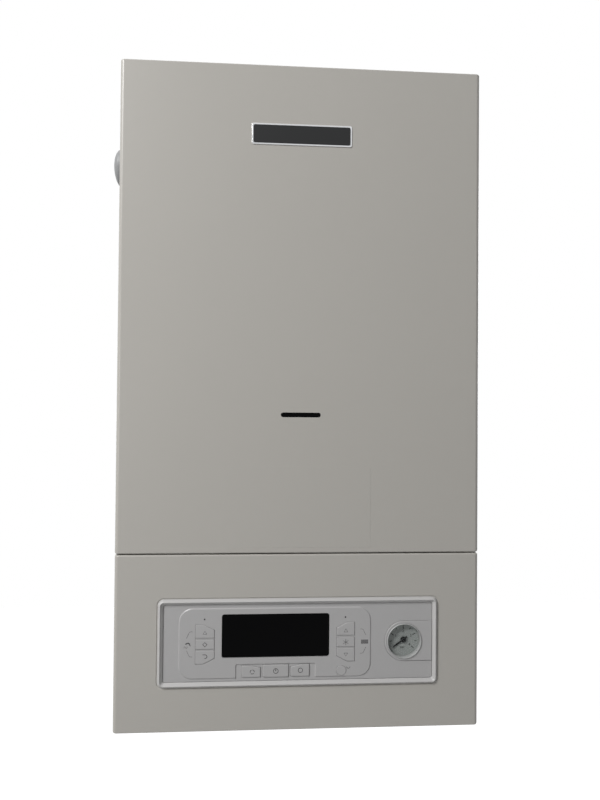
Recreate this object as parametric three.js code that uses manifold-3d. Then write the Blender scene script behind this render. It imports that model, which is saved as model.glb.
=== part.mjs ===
// Wall-hung gas combi boiler, in millimetres.
// X points to the right, the front faces -Y and Z is up.
// All places are casing coordinates: x from the centre line, y = 0 on the wall and
// z = 0 at the underside of the casing. The last group moves the origin to the wall rail.
import * as THREE from 'three';
import { mergeVertices } from 'three/addons/utils/BufferGeometryUtils.js';
import Module from 'manifold-3d';

const wasm = await Module();
wasm.setup();

// ---- Driving sizes: casing ----
const casingWidth = 400;
const casingHeight = 730;
const casingDepth = 320;
const sheet = 1.2;
const touchGap = 0.3;
const foldRadius = 3.5;
const lipRadius = 1.5;
const frontReturn = 22;
const splitHeight = 191.3;
const splitGap = 1.2;
const frameDepth = 10;
const frameInset = 2.5;
const sideFlange = 16;

// ---- Driving sizes: wall rail and pipe shelf ----
const railHeight = 675;
const railLength = 300;
const railWidth = 50;
const railThickness = 2;
const railLip = 7;
const hookSpacing = 220;
const hookWidth = 30;
const hookReach = 17;
const hookRise = 16;
const hookThickness = 2.8;
const railSlotLength = 16;
const railSlotWidth = 9;
const railSlotPlaces = [-135, -60, 60, 135];
const shelfHeight = 8;
const shelfDepth = 130;
const shelfLip = 10;
const pipeSpacing = 65;
const pipeRowDepth = 75;

// ---- Driving sizes: flue and side cap ----
const flueDepth = 156;
const collarBore = 97;
const collarWall = 3;
const collarRise = 30;
const collarDrop = 12;
const collarFlange = 126;
const collarFlangeThickness = 4;
const capRadius = 21;
const capEdge = 6;
const capRise = 14;
const capStub = 11.5;
const capStubLength = 6;
const capHeight = 625;

// ---- Driving sizes: door ----
const sightHeight = 343.3;
const sightLength = 44;
const sightWidth = 5.2;
const windowFlange = 5;
const windowThickness = 2;
const linerMargin = 13;
const linerRise = 12;
const linerDish = 5;
const linerDishMargin = 32;
const hookTabWidth = 17;
const hookTabHeight = 20;
const hookStep = 5;
const hookTabBottom = 706;
const saddleReach = 10.6;
const saddleRise = 9;

// ---- Driving sizes: fascia, bezel and keypad ----
const pivotHeight = 6;
const pivotSetback = 6;
const pinRadius = 2.5;
const pinHeadRadius = 4;
const pinClearance = 0.3;
const lugThickness = 2.5;
const bezelX = 0.5;
const bezelZ = 95.3;
const bezelWidth = 307;
const bezelHeight = 95.5;
const bezelCorner = 7;
const bezelRim = 6;
const bezelStep = 2.4;
const bezelProud = 3;
const bezelBodyDepth = 11;
const keypadRecess = 0.5;
const keypadThickness = 2.6;
const embossHeight = 0.5;
const embossLeft = -130.4;
const embossRight = 79.5;
const embossBottom = 56.6;
const embossTop = 133;
const embossCorner = 15;
const notchLeft = -69;
const notchRight = 18.7;
const notchTop = 72.5;
const keyGap = 0.35;
const keyProud = 0.7;
const keyFlange = 0.6;
const keyFlangeThickness = 1;
const keyKnee = 0.42;
const buttonX = 46.7;
const buttonZ = 63.6;
const buttonRadius = 5.5;
const displayX = -25.3;
const displayZ = 102.8;
const displayWidth = 116.7;
const displayHeight = 46.5;
const displayCorner = 2.5;
const displayDepth = 9;

// ---- Driving sizes: pressure gauge ----
const gaugeX = 116.6;
const gaugeZ = 94.6;
const gaugeRadius = 21;
const gaugeBodyRadius = 19.7;
const gaugeDialRadius = 18.3;
const gaugeHolderRadius = 21.9;
const gaugeBodyDepth = 22;
const gaugeSeatDepth = 5.5;
const dialThickness = 0.8;
const needleLength = 14;
const needleTail = 5;
const needleHub = 2.6;
const needleRest = -125;

// ---- Driving sizes: control box ----
const boxHalfWidth = 178;
const boxBottom = 18;
const boxTop = 156;
const boxBack = 215;
const boxWall = 2.5;
const boardRight = 92;
const boardThickness = 1.6;
const relayPlaces = [-120, -96, -72];
const relayHeight = 122;
const relaySide = 16;
const terminalPlaces = [-110, -65, -20, 25];
const terminalHeight = 60;
const terminalLength = 36;
const terminalSide = 10;
const transformerX = 60;
const transformerHeight = 112;
const transformerLength = 42;
const transformerDepth = 32;
const capacitorPlaces = [-30, -12];
const capacitorHeight = 120;
const capacitorLength = 22;
const capacitorRadius = 6.5;

// ---- Driving sizes: air box and heating core ----
const sealThickness = 3;
const airBoxHalfWidth = 162;
const airBoxBack = 100;
const airBoxBottom = 212;
const airBoxTop = 705;
const flangeBelow = 14;
const flangeAbove = 17;
const coreSideGap = 5;
const chamberDepth = 140;
const chamberWall = 4;
const chamberBottom = 330;
const chamberTop = 530;
const chamberRim = 8;
const electrodeX = 72;
const electrodeHeight = 341;
const electrodeRadius = 1.5;
const electrodeSpread = 8;
const coreHeight = 42;
const coreWall = 1.5;
const coreTubePitch = 40;
const coreTubeRadius = 9;
const coreHeader = 12;
const finCount = 9;
const finThickness = 1.2;
const finWave = 5;
const burnerHeight = 40;
const bladeCount = 11;
const bladeWidth = 8;
const bladeSideGap = 22.5;
const manifoldRadius = 8;
const nozzleLength = 10;
const nozzleRadius = 2.6;
const gasPipeRadius = 6;
const gasCrossHeight = 192;
const waterPipeRadius = 9;
const pipeSideGap = 7;
const flowJogTop = 180;
const flowJogLow = 125;
const returnJogTop = 32;
const returnJogLow = 17;
const bendLength = 14;

// ---- Driving sizes: hood and fan ----
const hoodHeight = 22;
const hoodSlope = 26;
const hoodWall = 2;
const fanHeight = 650;
const fanDepth = 55;
const fanWall = 1.5;
const fanEye = 19;
const scrollStart = 34;
const scrollEnd = 52;
const scrollFirst = 0.4;
const flueInner = 60;
const ductGap = 1.5;
const impellerRadius = 28;
const impellerInner = 21;
const impellerBlades = 10;
const shaftRadius = 4;
const motorRadius = 24;
const switchRadius = 30;
const switchHeight = 650;
const switchBase = 8;
const switchDepth = 26;
const switchStem = 12;
const motorFlange = 6;
const motorLength = 36;
const motorCoreDepth = 16;
const motorCoreShare = 0.55;
const motorSeat = 10;

// ---- Driving sizes: water and gas side ----
const vesselRadius = 162;
const vesselDepth = 80;
const vesselHeight = 470;
const vesselRim = 3;
const vesselPipeX = 60;
const vesselShoulder = 14;
const vesselFlat = 0.82;
const vesselPipeReach = 30;
const vesselPipeRadius = 5;
const stubRadius = 9.5;
const stubDrop = 40;
const stubBore = 7;
const stubBoreDepth = 30;
const nutRadius = 16;
const nutHeight = 14;
const blockBottom = 16;
const blockTop = 58;
const blockFront = 46;
const blockRear = 34;
const blockNear = 18;
const blockFar = 32;
const blockCap = 5;
const portRise = 8;
const portRadius = 15;
const valveNeck = 12;
const divertMotorHalf = 20;
const divertMotorHeight = 40;
const divertNeckRadius = 14;
const divertNeckHeight = 6;
const exchangerLeft = -85;
const exchangerRight = 66;
const exchangerBottom = 20;
const exchangerTop = 92;
const exchangerPlates = 6;
const exchangerPitch = 6.3;
const pumpX = 112;
const pumpHeight = 110;
const pumpRadius = 42;
const pumpDepth = 50;
const pumpMotorRadius = 38;
const pumpMotorLength = 78;
const pumpMotorNose = 12;
const pumpTerminalHalf = 24;
const pumpTerminalHeight = 26;
const pumpTerminalStart = 16;
const dischargeRise = 50;
const ventX = 100;
const ventRadius = 10;
const ventHeight = 31;
const ventBoss = 12;
const valveBottom = 76;
const valveTop = 150;
const valveHalfWidth = 30;
const valveFront = 35;
const valveOutletHeight = 130;
const valveOutletLength = 8;
const coilRadius = 14;
const coilHeight = 24;
const coilSpread = 15;
const gasPipeStep = 55;
const knobRadius = 14;
const tapX = 97.5;
const tapDepth = 104;
const tapRadius = 12;
const tapStem = 5;

// ---- Planes and edges worked out from the sizes ----
const halfWidth = casingWidth / 2;
const webInner = halfWidth - sheet;
const frontY = -casingDepth;
const panY = frontY + frontReturn;
const sideFrontY = panY + touchGap;
const frameFrontY = -frameDepth - sheet;
const sideBackY = frameFrontY - touchGap;
const doorBottom = splitHeight + splitGap / 2;
const fasciaTop = splitHeight - splitGap / 2;
const topUnderside = casingHeight - sheet;
const flueY = -flueDepth;
const pivotY = panY - pivotSetback;
const plateFaceY = frontY + keypadRecess;
const plateBackY = plateFaceY + keypadThickness;
const fieldHalfWidth = bezelWidth / 2 - bezelRim;
const fieldHalfHeight = bezelHeight / 2 - bezelRim;
const linerHalfWidth = airBoxHalfWidth + linerMargin;
const linerBottom = airBoxBottom - linerRise;
const linerTop = airBoxTop + linerRise;
const risePipeX = airBoxHalfWidth - waterPipeRadius - pipeSideGap;
const flangeFaceY = panY + sealThickness + 2 * touchGap;
const coreBackY = -airBoxBack - sheet - touchGap;
const coreFaceY = coreBackY - chamberDepth;
const coreMiddleY = (coreBackY + coreFaceY) / 2;
const coreBottom = chamberTop + touchGap;
const coreTop = coreBottom + coreHeight;
const chamberHalfWidth = risePipeX - waterPipeRadius - coreHeader - coreSideGap;
const coreHalfWidth = chamberHalfWidth - 3;
const bladePitch = (2 * (chamberHalfWidth - bladeSideGap)) / (bladeCount - 1);
const burnerTop = chamberBottom - touchGap;
const burnerFaceY = coreFaceY + 6;
const manifoldY = burnerFaceY - touchGap - nozzleLength - manifoldRadius;
const manifoldHeight = burnerTop - burnerHeight + 5.5;
const fanX = flueInner / 2 - scrollEnd;
const riserFaceY = flueY + fanDepth / 2 + touchGap;
const rowY = -pipeRowDepth;
const blockFaceY = rowY - blockFront;

// ---- Solids ----
// Merges the shared corners of a closed geometry, drops flat slivers and makes it a solid.
function solidOf(geometry) {
  geometry.deleteAttribute('normal');
  geometry.deleteAttribute('uv');
  const merged = mergeVertices(geometry, 1e-4);
  const corners = [];
  for (let i = 0; i < merged.index.count; i += 3) {
    const [a, b, c] = [0, 1, 2].map((step) => merged.index.getX(i + step));
    if (a !== b && b !== c && a !== c) corners.push(a, b, c);
  }
  const vertProperties = Float32Array.from(merged.attributes.position.array);
  const triVerts = Uint32Array.from(signedVolume(vertProperties, corners) < 0 ? corners.reverse() : corners);
  return new wasm.Manifold(new wasm.Mesh({ numProp: 3, vertProperties, triVerts }));
}

function signedVolume(points, corners) {
  let sum = 0;
  const corner = (i) => new THREE.Vector3().fromArray(points, 3 * corners[i]);
  for (let i = 0; i < corners.length; i += 3) {
    sum += corner(i).dot(corner(i + 1).cross(corner(i + 2)));
  }
  return sum;
}

function geometryOf(solid) {
  const mesh = solid.getMesh();
  const geometry = new THREE.BufferGeometry();
  geometry.setAttribute('position', new THREE.BufferAttribute(mesh.vertProperties, 3));
  geometry.setIndex(new THREE.BufferAttribute(mesh.triVerts, 1));
  geometry.computeVertexNormals();
  return geometry;
}

// A box between two corners along each axis.
function block(x0, x1, y0, y1, z0, z1) {
  const geometry = new THREE.BoxGeometry(Math.abs(x1 - x0), Math.abs(y1 - y0), Math.abs(z1 - z0));
  geometry.translate((x0 + x1) / 2, (y0 + y1) / 2, (z0 + z1) / 2);
  return solidOf(geometry);
}

function extrude(shape, depth, curveSegments = 2) {
  return new THREE.ExtrudeGeometry(shape, { depth, bevelEnabled: false, curveSegments });
}

// A shape drawn in X and Z as seen from the front, between two planes of Y.
function prismY(shape, backY, faceY, curveSegments) {
  const geometry = extrude(shape, backY - faceY, curveSegments);
  geometry.rotateX(Math.PI / 2);
  geometry.translate(0, backY, 0);
  return solidOf(geometry);
}

// A shape drawn in Y and Z, between two planes of X.
function prismX(shape, x0, x1, curveSegments) {
  const geometry = extrude(shape, Math.abs(x1 - x0), curveSegments);
  const turn = new THREE.Matrix4();
  turn.makeBasis(new THREE.Vector3(0, 1, 0), new THREE.Vector3(0, 0, 1), new THREE.Vector3(1, 0, 0));
  geometry.applyMatrix4(turn);
  geometry.translate(Math.min(x0, x1), 0, 0);
  return solidOf(geometry);
}

// A shape drawn in X and Y, between two heights.
function prismZ(shape, z0, z1, curveSegments) {
  const geometry = extrude(shape, z1 - z0, curveSegments);
  geometry.translate(0, 0, z0);
  return solidOf(geometry);
}

function roundedRect(left, right, bottom, top, radius) {
  const shape = new THREE.Shape();
  shape.absarc(right - radius, bottom + radius, radius, -Math.PI / 2, 0);
  shape.absarc(right - radius, top - radius, radius, 0, Math.PI / 2);
  shape.absarc(left + radius, top - radius, radius, Math.PI / 2, Math.PI);
  shape.absarc(left + radius, bottom + radius, radius, Math.PI, Math.PI * 1.5);
  return shape;
}

function outlineOf(points) {
  return new THREE.Shape(points.map(([a, b]) => new THREE.Vector2(a, b)));
}

function circleAt(x, y, radius) {
  return new THREE.Shape().absarc(x, y, radius, 0, Math.PI * 2);
}

// A slot with round ends.
function obround(x, z, width, height) {
  const half = width / 2;
  const rise = height / 2;
  return roundedRect(x - half, x + half, z - rise, z + rise, Math.min(half, rise) - 0.01);
}

// A profile of [radius, height] pairs turned about Z.
function lathe(profile, segments = 20) {
  const geometry = new THREE.LatheGeometry(profile.map(([r, h]) => new THREE.Vector2(r, h)), segments);
  return geometry.rotateX(Math.PI / 2);
}

function turnedZ(profile, x, y, segments) {
  return solidOf(lathe(profile, segments).translate(x, y, 0));
}

// Turned about Y, with the heights counted from the wall plane towards the front.
function turnedY(profile, x, z, segments) {
  return solidOf(lathe(profile, segments).rotateX(Math.PI / 2).translate(x, 0, z));
}

// Turned about X, with the heights counted along +X for side 1 and along -X for side -1.
function turnedX(side, profile, y, z, segments) {
  return solidOf(lathe(profile, segments).rotateY(side * Math.PI / 2).translate(0, y, z));
}

function rodProfile(from, to, radius) {
  return [[0, from], [radius, from], [radius, to], [0, to]];
}

function rodZ(x, y, z0, z1, radius, segments) {
  return turnedZ(rodProfile(z0, z1, radius), x, y, segments);
}

function rodY(x, z, backY, faceY, radius, segments) {
  return turnedY(rodProfile(-backY, -faceY, radius), x, z, segments);
}

function rodX(y, z, x0, x1, radius, segments) {
  return turnedX(1, rodProfile(x0, x1, radius), y, z, segments);
}

// A block whose edges round the front face are rounded.
function softBlock(left, right, bottom, top, backY, faceY, radius) {
  const depth = backY - faceY;
  const geometry = new THREE.ExtrudeGeometry(roundedRect(left, right, bottom, top, radius + 0.5), {
    depth: depth - radius,
    bevelThickness: radius,
    bevelSize: radius,
    bevelOffset: -radius,
    bevelSegments: 3,
    curveSegments: 2,
  });
  geometry.rotateX(Math.PI / 2);
  geometry.translate(0, backY, 0);
  const keep = block(left - 1, right + 1, backY, faceY - 1, bottom - 1, top + 1);
  return solidOf(geometry).intersect(keep);
}

// A block with round folds down its sides and tighter ones along its top and bottom.
function foldedBlock(left, right, bottom, top, backY, faceY, inset) {
  const fold = foldRadius - inset;
  const lip = lipRadius - inset;
  const plan = new THREE.Shape();
  plan.moveTo(left + inset, backY);
  plan.lineTo(left + inset, faceY + inset + fold);
  plan.absarc(left + inset + fold, faceY + inset + fold, fold, Math.PI, Math.PI * 1.5);
  plan.absarc(right - inset - fold, faceY + inset + fold, fold, Math.PI * 1.5, Math.PI * 2);
  plan.lineTo(right - inset, backY);
  const side = new THREE.Shape();
  side.moveTo(backY, top - inset);
  side.lineTo(faceY + inset + lip, top - inset);
  side.absarc(faceY + inset + lip, top - inset - lip, lip, Math.PI / 2, Math.PI);
  side.absarc(faceY + inset + lip, bottom + inset + lip, lip, Math.PI, Math.PI * 1.5);
  side.lineTo(backY, bottom + inset);
  return prismZ(plan, bottom, top).intersect(prismX(side, left, right));
}

// A sheet pan that is open at its back, with folded front edges.
function pan(left, right, bottom, top, backY, faceY) {
  const outer = foldedBlock(left, right, bottom, top, backY, faceY, 0);
  return outer.subtract(foldedBlock(left, right, bottom, top, backY + 1, faceY, sheet));
}

// A path of straight runs and round bends, with one step for a run and three for a bend.
class BentPath extends THREE.Curve {
  constructor(places, bend) {
    super();
    this.steps = [];
    let start = places[0];
    for (let i = 1; i < places.length - 1; i += 1) {
      const corner = places[i];
      const inPoint = corner.clone().add(places[i - 1].clone().sub(corner).setLength(bend));
      const outPoint = corner.clone().add(places[i + 1].clone().sub(corner).setLength(bend));
      const curve = new THREE.QuadraticBezierCurve3(inPoint, corner, outPoint);
      this.steps.push({ curve: new THREE.LineCurve3(start, inPoint), from: 0, to: 1 });
      [0, 1, 2].forEach((third) => this.steps.push({ curve, from: third / 3, to: (third + 1) / 3 }));
      start = outPoint;
    }
    this.steps.push({ curve: new THREE.LineCurve3(start, places[places.length - 1]), from: 0, to: 1 });
  }

  getUtoTmapping(u) {
    return u;
  }

  getPoint(t) {
    const place = t * this.steps.length;
    const index = Math.min(Math.floor(place), this.steps.length - 1);
    const { curve, from, to } = this.steps[index];
    return curve.getPoint(from + (to - from) * (place - index));
  }
}

// A tube through points, with its corners rounded off.
function pipe(points, radius) {
  const path = new BentPath(points.map(([x, y, z]) => new THREE.Vector3(x, y, z)), bendLength);
  const settings = { steps: path.steps.length, extrudePath: path, bevelEnabled: false, curveSegments: 4 };
  return solidOf(new THREE.ExtrudeGeometry(circleAt(0, 0, radius), settings));
}

function joined(solids) {
  return solids.reduce((whole, next) => whole.add(next));
}

// ---- Wall rail, frame and casing ----
function wallRail() {
  const low = railHeight - railWidth / 2;
  const high = railHeight + railWidth / 2;
  const t = railThickness;
  const channel = prismX(outlineOf([
    [0, low], [0, high], [-railLip, high], [-railLip, high - t],
    [-t, high - t], [-t, low + t], [-railLip, low + t], [-railLip, low],
  ]), -railLength / 2, railLength / 2);
  const hookRoot = hookShelf();
  const hooks = [-1, 1].map((side) => {
    const middle = side * hookSpacing / 2;
    return prismX(outlineOf([
      [-t / 2, hookRoot], [-t / 2, hookRoot + hookThickness],
      [-hookReach + hookThickness, hookRoot + hookThickness],
      [-hookReach + hookThickness, hookRoot + hookRise], [-hookReach, hookRoot + hookRise],
      [-hookReach, hookRoot],
    ]), middle - hookWidth / 2, middle + hookWidth / 2);
  });
  const slots = railSlotPlaces.map((x) =>
    prismY(obround(x, railHeight, railSlotLength, railSlotWidth), 1, -t - 1));
  return joined([channel, ...hooks]).subtract(joined(slots));
}

// Height of the underside of the hooks, a little below the rail's middle.
function hookShelf() {
  return railHeight - hookRise / 2;
}

function backFrame() {
  const side = halfWidth - frameInset;
  const top = topUnderside - sheet - touchGap;
  const outer = block(-side, side, 0, frameFrontY, 0, top);
  const hollow = block(-side + sheet, side - sheet, 1, -frameDepth, sheet, top - sheet);
  const rest = hookShelf() + hookThickness + touchGap;
  const slots = [-1, 1].map((place) => {
    const middle = place * hookSpacing / 2;
    const half = hookWidth / 2 + touchGap;
    return block(middle - half, middle + half, -frameDepth + 1, frameFrontY - 1, rest - hookRise - 2, rest);
  });
  const shelf = pipeShelf();
  return outer.subtract(hollow).subtract(joined(slots)).add(shelf);
}

// The frame's folded shelf, which carries the five pipe connections.
function pipeShelf() {
  const side = halfWidth - sideFlange - touchGap;
  const front = frameFrontY - shelfDepth;
  const fold = outlineOf([
    [frameFrontY + sheet / 2, shelfHeight], [frameFrontY + sheet / 2, shelfHeight + sheet],
    [front + sheet, shelfHeight + sheet], [front + sheet, shelfHeight + shelfLip],
    [front, shelfHeight + shelfLip], [front, shelfHeight],
  ]);
  const holes = pipePlaces().map((x) =>
    rodZ(x, rowY, shelfHeight - 1, shelfHeight + sheet + 1, stubRadius + touchGap, 16));
  const tapHole = rodZ(tapX, -tapDepth, shelfHeight - 1, shelfHeight + sheet + 1, tapStem + touchGap, 12);
  return prismX(fold, -side, side).subtract(joined([...holes, tapHole]));
}

function pipePlaces() {
  return [-2, -1, 0, 1, 2].map((step) => step * pipeSpacing);
}

function sidePanel(side) {
  const top = topUnderside - touchGap;
  const inner = halfWidth - sideFlange;
  const outer = block(side * inner, side * halfWidth, sideFrontY, sideBackY, 0, top);
  const hollow = block(side * (inner - 1), side * webInner, sideFrontY - 1, sideBackY - sheet, sheet, top - sheet);
  return outer.subtract(hollow).add(hingeLug(side));
}

function sidePanelLeft() {
  const hole = rodX(capPlaceY(), capHeight, -halfWidth - 1, -webInner + 1, capStub + touchGap, 16);
  return sidePanel(-1).subtract(hole);
}

function hingeLug(side) {
  const inner = halfWidth - sideFlange + 1;
  const strap = new THREE.Shape();
  strap.moveTo(sideFrontY + pivotSetback, 0);
  strap.lineTo(sideFrontY + pivotSetback, pivotHeight * 2);
  strap.absarc(pivotY, pivotHeight, pivotHeight, Math.PI / 2, Math.PI * 1.5);
  return prismX(strap, side * inner, side * (inner + lugThickness), 3).subtract(pinHole());
}

function pinHole() {
  return rodX(pivotY, pivotHeight, -casingWidth, casingWidth, pinRadius + pinClearance, 12);
}

function topPanel() {
  const plate = roundedRect(-halfWidth, halfWidth, sideFrontY, 0, foldRadius);
  const hole = rodZ(0, flueY, topUnderside - 1, casingHeight + 1, collarBore / 2 + collarWall + touchGap, 32);
  return prismZ(plate, topUnderside, casingHeight).subtract(hole);
}

function flueCollar() {
  const bore = collarBore / 2;
  const outer = bore + collarWall;
  const seat = casingHeight + touchGap;
  const flangeTop = seat + collarFlangeThickness;
  return turnedZ([
    [bore, seat - collarDrop], [outer, seat - collarDrop], [outer, seat], [collarFlange / 2, seat],
    [collarFlange / 2, flangeTop - 1], [collarFlange / 2 - 1, flangeTop], [outer, flangeTop],
    [outer, casingHeight + collarRise], [bore, casingHeight + collarRise], [bore, seat - collarDrop],
  ], 0, flueY, 24);
}

function capPlaceY() {
  return panY + capRadius + 1;
}

function sideCap() {
  const dome = [0, 1, 2, 3, 4].map((step) => {
    const turn = (step / 4) * (Math.PI / 2);
    return [capRadius * Math.cos(turn), capEdge + (capRise - capEdge) * Math.sin(turn)];
  });
  dome[4][0] = 0;
  const profile = [[0, -capStubLength], [capStub, -capStubLength], [capStub, touchGap], [capRadius, touchGap]];
  const shifted = [...profile, ...dome].map(([r, h]) => [r, h + halfWidth]);
  return turnedX(-1, shifted, capPlaceY(), capHeight, 20);
}

// ---- Door ----
function frontDoor() {
  const shell = pan(-halfWidth, halfWidth, doorBottom, casingHeight, panY, frontY);
  const slot = prismY(obround(0, sightHeight, sightLength, sightWidth), frontY + 5, frontY - 1, 3);
  return joined([shell, hookTab(-1), hookTab(1)]).subtract(slot);
}

// The tab inside the door's side return that drops behind the lip of the air box's saddle.
function hookTab(side) {
  const backY = saddleLipY() + sheet + hookStep;
  return block(side * (webInner - hookTabWidth), side * (webInner + sheet / 2), backY, backY - sheet,
    hookTabBottom, hookTabBottom + hookTabHeight);
}

function saddleLipY() {
  return flangeFaceY - saddleReach;
}

function sightWindow() {
  const flangeFace = frontY + sheet + touchGap;
  const insert = obround(0, sightHeight, sightLength - 2 * touchGap, sightWidth - 2 * touchGap);
  const plate = roundedRect(-sightLength / 2 - windowFlange, sightLength / 2 + windowFlange,
    sightHeight - sightWidth / 2 - windowFlange, sightHeight + sightWidth / 2 + windowFlange, 3);
  return prismY(insert, flangeFace + 1, frontY + 0.5, 3)
    .add(prismY(plate, flangeFace + windowThickness, flangeFace));
}

// The panel on the back of the door that closes the air box, pressed in towards the front.
function doorLiner() {
  const faceY = frontY + sheet + touchGap;
  const tray = (grow, backY) => prismY(
    roundedRect(-linerHalfWidth - grow, linerHalfWidth + grow, linerBottom - grow, linerTop + grow, 6 + grow),
    backY, faceY + (grow ? -1 : 0));
  const dish = (grow, dishDepth) => prismY(
    roundedRect(-linerHalfWidth + linerDishMargin - grow, linerHalfWidth - linerDishMargin + grow,
      sightHeight + linerDishMargin - grow, linerTop - linerDishMargin + grow, 24 + grow),
    panY + 1, panY - dishDepth);
  const outer = tray(0, panY).subtract(dish(0, linerDish));
  const hollow = tray(-sheet, panY - sheet).subtract(dish(sheet, linerDish + sheet));
  const sight = prismY(obround(0, sightHeight, sightLength + 16, sightWidth + 16), panY + 1, panY - 3, 3);
  return outer.subtract(hollow).subtract(sight);
}

// ---- Fascia and controls ----
function fasciaPanel() {
  const shell = pan(-halfWidth, halfWidth, 0, fasciaTop, panY, frontY);
  const opening = bezelBlock(-bezelStep + touchGap, frontY + 5, frontY - 1);
  const notchFront = pivotY - pivotSetback - 2.5;
  const notch = block(-halfWidth - 1, halfWidth + 1, notchFront, panY + 1, -1, 2 * pivotHeight);
  return shell.subtract(opening).subtract(notch).add(hingeEar(-1)).add(hingeEar(1));
}

// The outline of the bezel, grown or shrunk, between two planes.
function bezelBlock(grow, backY, faceY) {
  const half = bezelWidth / 2 + grow;
  const high = bezelHeight / 2 + grow;
  const corner = Math.max(bezelCorner + grow, 1);
  const outline = roundedRect(bezelX - half, bezelX + half, bezelZ - high, bezelZ + high, corner);
  return prismY(outline, backY, faceY);
}

function hingeEar(side) {
  const inner = halfWidth - sideFlange + 1 + lugThickness + 2 * touchGap;
  const ear = new THREE.Shape();
  ear.moveTo(frontY + sheet / 2, sheet / 2);
  ear.lineTo(pivotY, sheet / 2);
  ear.absarc(pivotY, pivotHeight, pivotHeight - sheet / 2, -Math.PI / 2, Math.PI / 2);
  ear.lineTo(frontY + sheet / 2, 2 * pivotHeight - sheet / 2);
  return prismX(ear, side * inner, side * (inner + lugThickness), 3).subtract(pinHole());
}

function hingePin(side) {
  const lug = halfWidth - sideFlange + 1;
  const head = lug - touchGap;
  const profile = [
    [0, head - 2], [pinHeadRadius, head - 2], [pinHeadRadius, head], [pinRadius, head],
    [pinRadius, lug + 2 * lugThickness + 1.5], [0, lug + 2 * lugThickness + 1.5],
  ];
  return turnedX(side, profile, pivotY, pivotHeight, 16);
}

// Two rounded steps stand in front of the fascia; the body goes back through its opening.
function controlBezel() {
  const seat = frontY - touchGap;
  const left = bezelX - bezelWidth / 2;
  const right = bezelX + bezelWidth / 2;
  const low = bezelZ - bezelHeight / 2;
  const high = bezelZ + bezelHeight / 2;
  const step = bezelStep;
  const outerStep = softBlock(left, right, low, high, seat, frontY - bezelProud / 2, 1);
  const innerStep = softBlock(left + step, right - step, low + step, high - step,
    seat, frontY - bezelProud, 1.2);
  const body = bezelBlock(-step, frontY + bezelBodyDepth, seat);
  const field = fieldBlock(0, frontY + bezelBodyDepth + 1, frontY - bezelProud - 1);
  return joined([outerStep, innerStep, body]).subtract(field);
}

// The opening inside the bezel, grown or shrunk, between two planes.
function fieldBlock(grow, backY, faceY) {
  const outline = roundedRect(bezelX - fieldHalfWidth - grow, bezelX + fieldHalfWidth + grow,
    bezelZ - fieldHalfHeight - grow, bezelZ + fieldHalfHeight + grow, 2.5);
  return prismY(outline, backY, faceY);
}

// Each key is as seen from the front; knee says on which side its pointed end stands highest.
const keys = [
  { name: 'key_left_up', x: -102, z: 108.2, width: 20.6, height: 14.6, slope: 6, point: 1, side: -1 },
  { name: 'key_left_middle', x: -102, z: 94.15, width: 20.6, height: 10.5, slope: 0, point: 1, side: -1 },
  { name: 'key_left_down', x: -102, z: 80.35, width: 20.6, height: 14.7, slope: 6, point: -1, side: -1 },
  { name: 'key_right_up', x: 51.45, z: 109, width: 19.9, height: 14.4, slope: 6, point: 1, side: 1 },
  { name: 'key_right_middle', x: 51.45, z: 94.55, width: 19.9, height: 10.5, slope: 0, point: 1, side: 1 },
  { name: 'key_right_down', x: 51.45, z: 80.75, width: 19.9, height: 14.5, slope: 6, point: -1, side: 1 },
  { name: 'key_bottom_left', x: -51.8, z: 64.3, width: 20.4, height: 12.6, slope: 2.5, point: 1, side: -1 },
  { name: 'key_bottom_middle', x: -25, z: 64.45, width: 28, height: 13.4, slope: 0, point: 1, side: -1 },
  { name: 'key_bottom_right', x: 1.4, z: 64.6, width: 20.6, height: 13, slope: 2.5, point: 1, side: 1 },
];

// The outline of a key round a centre; the far side of its pointed end is cut off by the slope.
function keyOutline(key, grow, centreX = 0, centreZ = 0) {
  const half = key.width / 2 + grow;
  const low = -key.height / 2 - grow;
  const high = key.height / 2 + grow;
  const knee = key.side * (half - 2 * half * keyKnee);
  const points = [
    [-key.side * half, low], [key.side * half, low], [key.side * half, high],
    [knee, high], [-key.side * half, high - key.slope],
  ];
  return outlineOf(points.map(([x, z]) => [centreX + x, centreZ + key.point * z]));
}

function keyHole(key) {
  return prismY(keyOutline(key, keyGap, key.x, key.z), plateBackY + 1, plateFaceY - 2);
}

// Made round its own centre, with y = 0 on the keypad's face.
function keyCap(key) {
  const flangeFace = keypadThickness + touchGap;
  const cap = prismY(keyOutline(key, 0), flangeFace + keyFlangeThickness / 2, -embossHeight - keyProud);
  const flange = prismY(keyOutline(key, keyFlange), flangeFace + keyFlangeThickness, flangeFace);
  return cap.add(flange);
}

function roundButton() {
  const flangeFace = keypadThickness + touchGap;
  const proud = embossHeight + keyProud;
  return turnedY([
    [0, -flangeFace - keyFlangeThickness], [buttonRadius + 1, -flangeFace - keyFlangeThickness],
    [buttonRadius + 1, -flangeFace], [buttonRadius, -flangeFace], [buttonRadius, proud - 0.6],
    [buttonRadius - 0.6, proud], [0, proud],
  ], 0, 0, 16);
}

// The raised field of the keypad, with the notch that holds the three bottom keys.
function embossOutline() {
  const corner = embossCorner;
  const small = 2;
  const shape = new THREE.Shape();
  shape.absarc(embossRight - corner, embossBottom + corner, corner, -Math.PI / 2, 0);
  shape.absarc(embossRight - corner, embossTop - corner, corner, 0, Math.PI / 2);
  shape.absarc(embossLeft + corner, embossTop - corner, corner, Math.PI / 2, Math.PI);
  shape.absarc(embossLeft + corner, embossBottom + corner, corner, Math.PI, Math.PI * 1.5);
  shape.lineTo(notchLeft, embossBottom);
  shape.absarc(notchLeft + small, notchTop - small, small, Math.PI, Math.PI / 2, true);
  shape.absarc(notchRight - small, notchTop - small, small, Math.PI / 2, 0, true);
  shape.lineTo(notchRight, embossBottom);
  return shape;
}

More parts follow.
